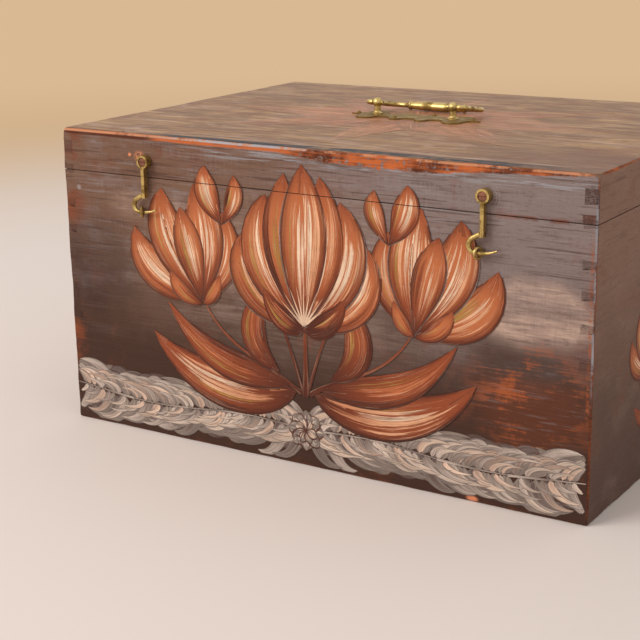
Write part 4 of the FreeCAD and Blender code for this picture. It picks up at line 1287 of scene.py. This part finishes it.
class BOX_OT_front_painting(bpy.types.Operator):
    """A spray of flowers over a feathered garland, brushed on the front and split at the lid"""

    bl_idname = "wooden_box.front_painting"
    bl_label = "Front painting"

    def execute(self, context):
        paints = context.scene.wooden_box.brush
        below = Brush("front", seed=11)
        garland(below, paints, level=30.0, half=235.0, tall=50.0)
        below.piece("garland_front", "box", high=RIM_Z)
        above = Brush("front", seed=5, lift=below.lift)
        spray(above, paints, foot=58.0, scale=1.0)
        above.piece("spray_front_box", "box", high=RIM_Z)
        above.piece("spray_front_lid", "lid", low=LID_RIM_Z)
        return {"FINISHED"}


class BOX_OT_side_paintings(bpy.types.Operator):
    """A smaller spray on each end of the box"""

    bl_idname = "wooden_box.side_paintings"
    bl_label = "Side paintings"

    def execute(self, context):
        for face, seed in (("right", 21), ("left", 22)):
            brush = Brush(face, seed)
            spray(brush, context.scene.wooden_box.brush, foot=44.0, scale=0.62)
            brush.piece(f"spray_{face}", "box", high=RIM_Z)
        return {"FINISHED"}


class BOX_OT_lid_star(bpy.types.Operator):
    """A pointed star round the handle, brushed thinly on the lid"""

    bl_idname = "wooden_box.lid_star"
    bl_label = "Star on the lid"

    def execute(self, context):
        brush = Brush("top", seed=31)
        star(brush, context.scene.wooden_box.brush, reaches=((205, 150), (120, 95)), points=16)
        brush.piece("star_lid", "lid")
        return {"FINISHED"}


class BOX_OT_metalwork(bpy.types.Operator):
    """Old brass on the hooks, hinges and handle, rust on the nails and screws"""

    bl_idname = "wooden_box.metalwork"
    bl_label = "Metalwork"

    def execute(self, context):
        settings = context.scene.wooden_box
        metal = settings.metal
        brass = old_metal(settings, "rubbed brass", metal.brass, metal.brass_dark, 0.3)
        plate = old_metal(settings, "plate brass", metal.brass, metal.brass_dark, 0.6)
        dull = old_metal(settings, "dull brass", metal.brass, metal.brass_dark, 0.85)
        rust = old_metal(settings, "rusty steel", metal.rust, metal.rust_dark, 0.6, metallic=0.35)
        red = old_metal(settings, "painted screws", metal.screw, metal.rust, 0.4, metallic=0.2)
        for side in ("left", "right"):
            finish_nodes(brass, f"hook_{side}", f"hook_{side}_eye", f"handle_{side}_post")
            finish_nodes(dull, f"hinge_{side}_box_leaf", f"hinge_{side}_lid_leaf", f"hinge_{side}_pin")
            finish_nodes(red, f"hook_{side}_screw")
        finish_nodes(brass, "handle_bail")
        finish_nodes(plate, "handle_plate")
        finish_nodes(dull, "handle_plate_pins", "handle_post_washers", "handle_post_nuts")
        finish_nodes(rust, "hinge_box_screws", "hinge_lid_screws", "bottom_nails", "lid_brads")
        return {"FINISHED"}


class WoodenBoxSettings(bpy.types.PropertyGroup):
    """All that a user can change."""

    ground: bpy.props.PointerProperty(
        type=BoxGroundPaint, name="Ground paint", description="Ground paint and wood"
    )
    brush: bpy.props.PointerProperty(
        type=BoxBrushPaint, name="Brush paint", description="Colours of the decoration"
    )
    metal: bpy.props.PointerProperty(type=BoxMetal, name="Metal", description="Brass and steel")
    stage: bpy.props.PointerProperty(type=BoxStage, name="Stage", description="Camera, floor and light")


STEPS = (
    BOX_OT_stage,
    BOX_OT_boards,
    BOX_OT_front_painting,
    BOX_OT_side_paintings,
    BOX_OT_lid_star,
    BOX_OT_metalwork,
)


class BOX_PT_sidebar(bpy.types.Panel):
    """Lists the steps in the sidebar of the 3D view."""

    bl_idname = "BOX_PT_sidebar"
    bl_label = "Wooden Box"
    bl_space_type = "VIEW_3D"
    bl_region_type = "UI"
    bl_category = "Wooden Box"

    def draw(self, context):
        for step in STEPS:
            self.layout.operator(step.bl_idname)


CLASSES = (BoxGroundPaint, BoxBrushPaint, BoxMetal, BoxStage, WoodenBoxSettings, *STEPS, BOX_PT_sidebar)


def register():
    for cls in CLASSES:
        bpy.utils.register_class(cls)
    bpy.types.Scene.wooden_box = bpy.props.PointerProperty(type=WoodenBoxSettings)


def unregister():
    del bpy.types.Scene.wooden_box
    for cls in reversed(CLASSES):
        bpy.utils.unregister_class(cls)


def main():
    register()
    for step in STEPS:
        group, name = step.bl_idname.split(".")
        getattr(getattr(bpy.ops, group), name)()


if __name__ == "__main__":
    main()
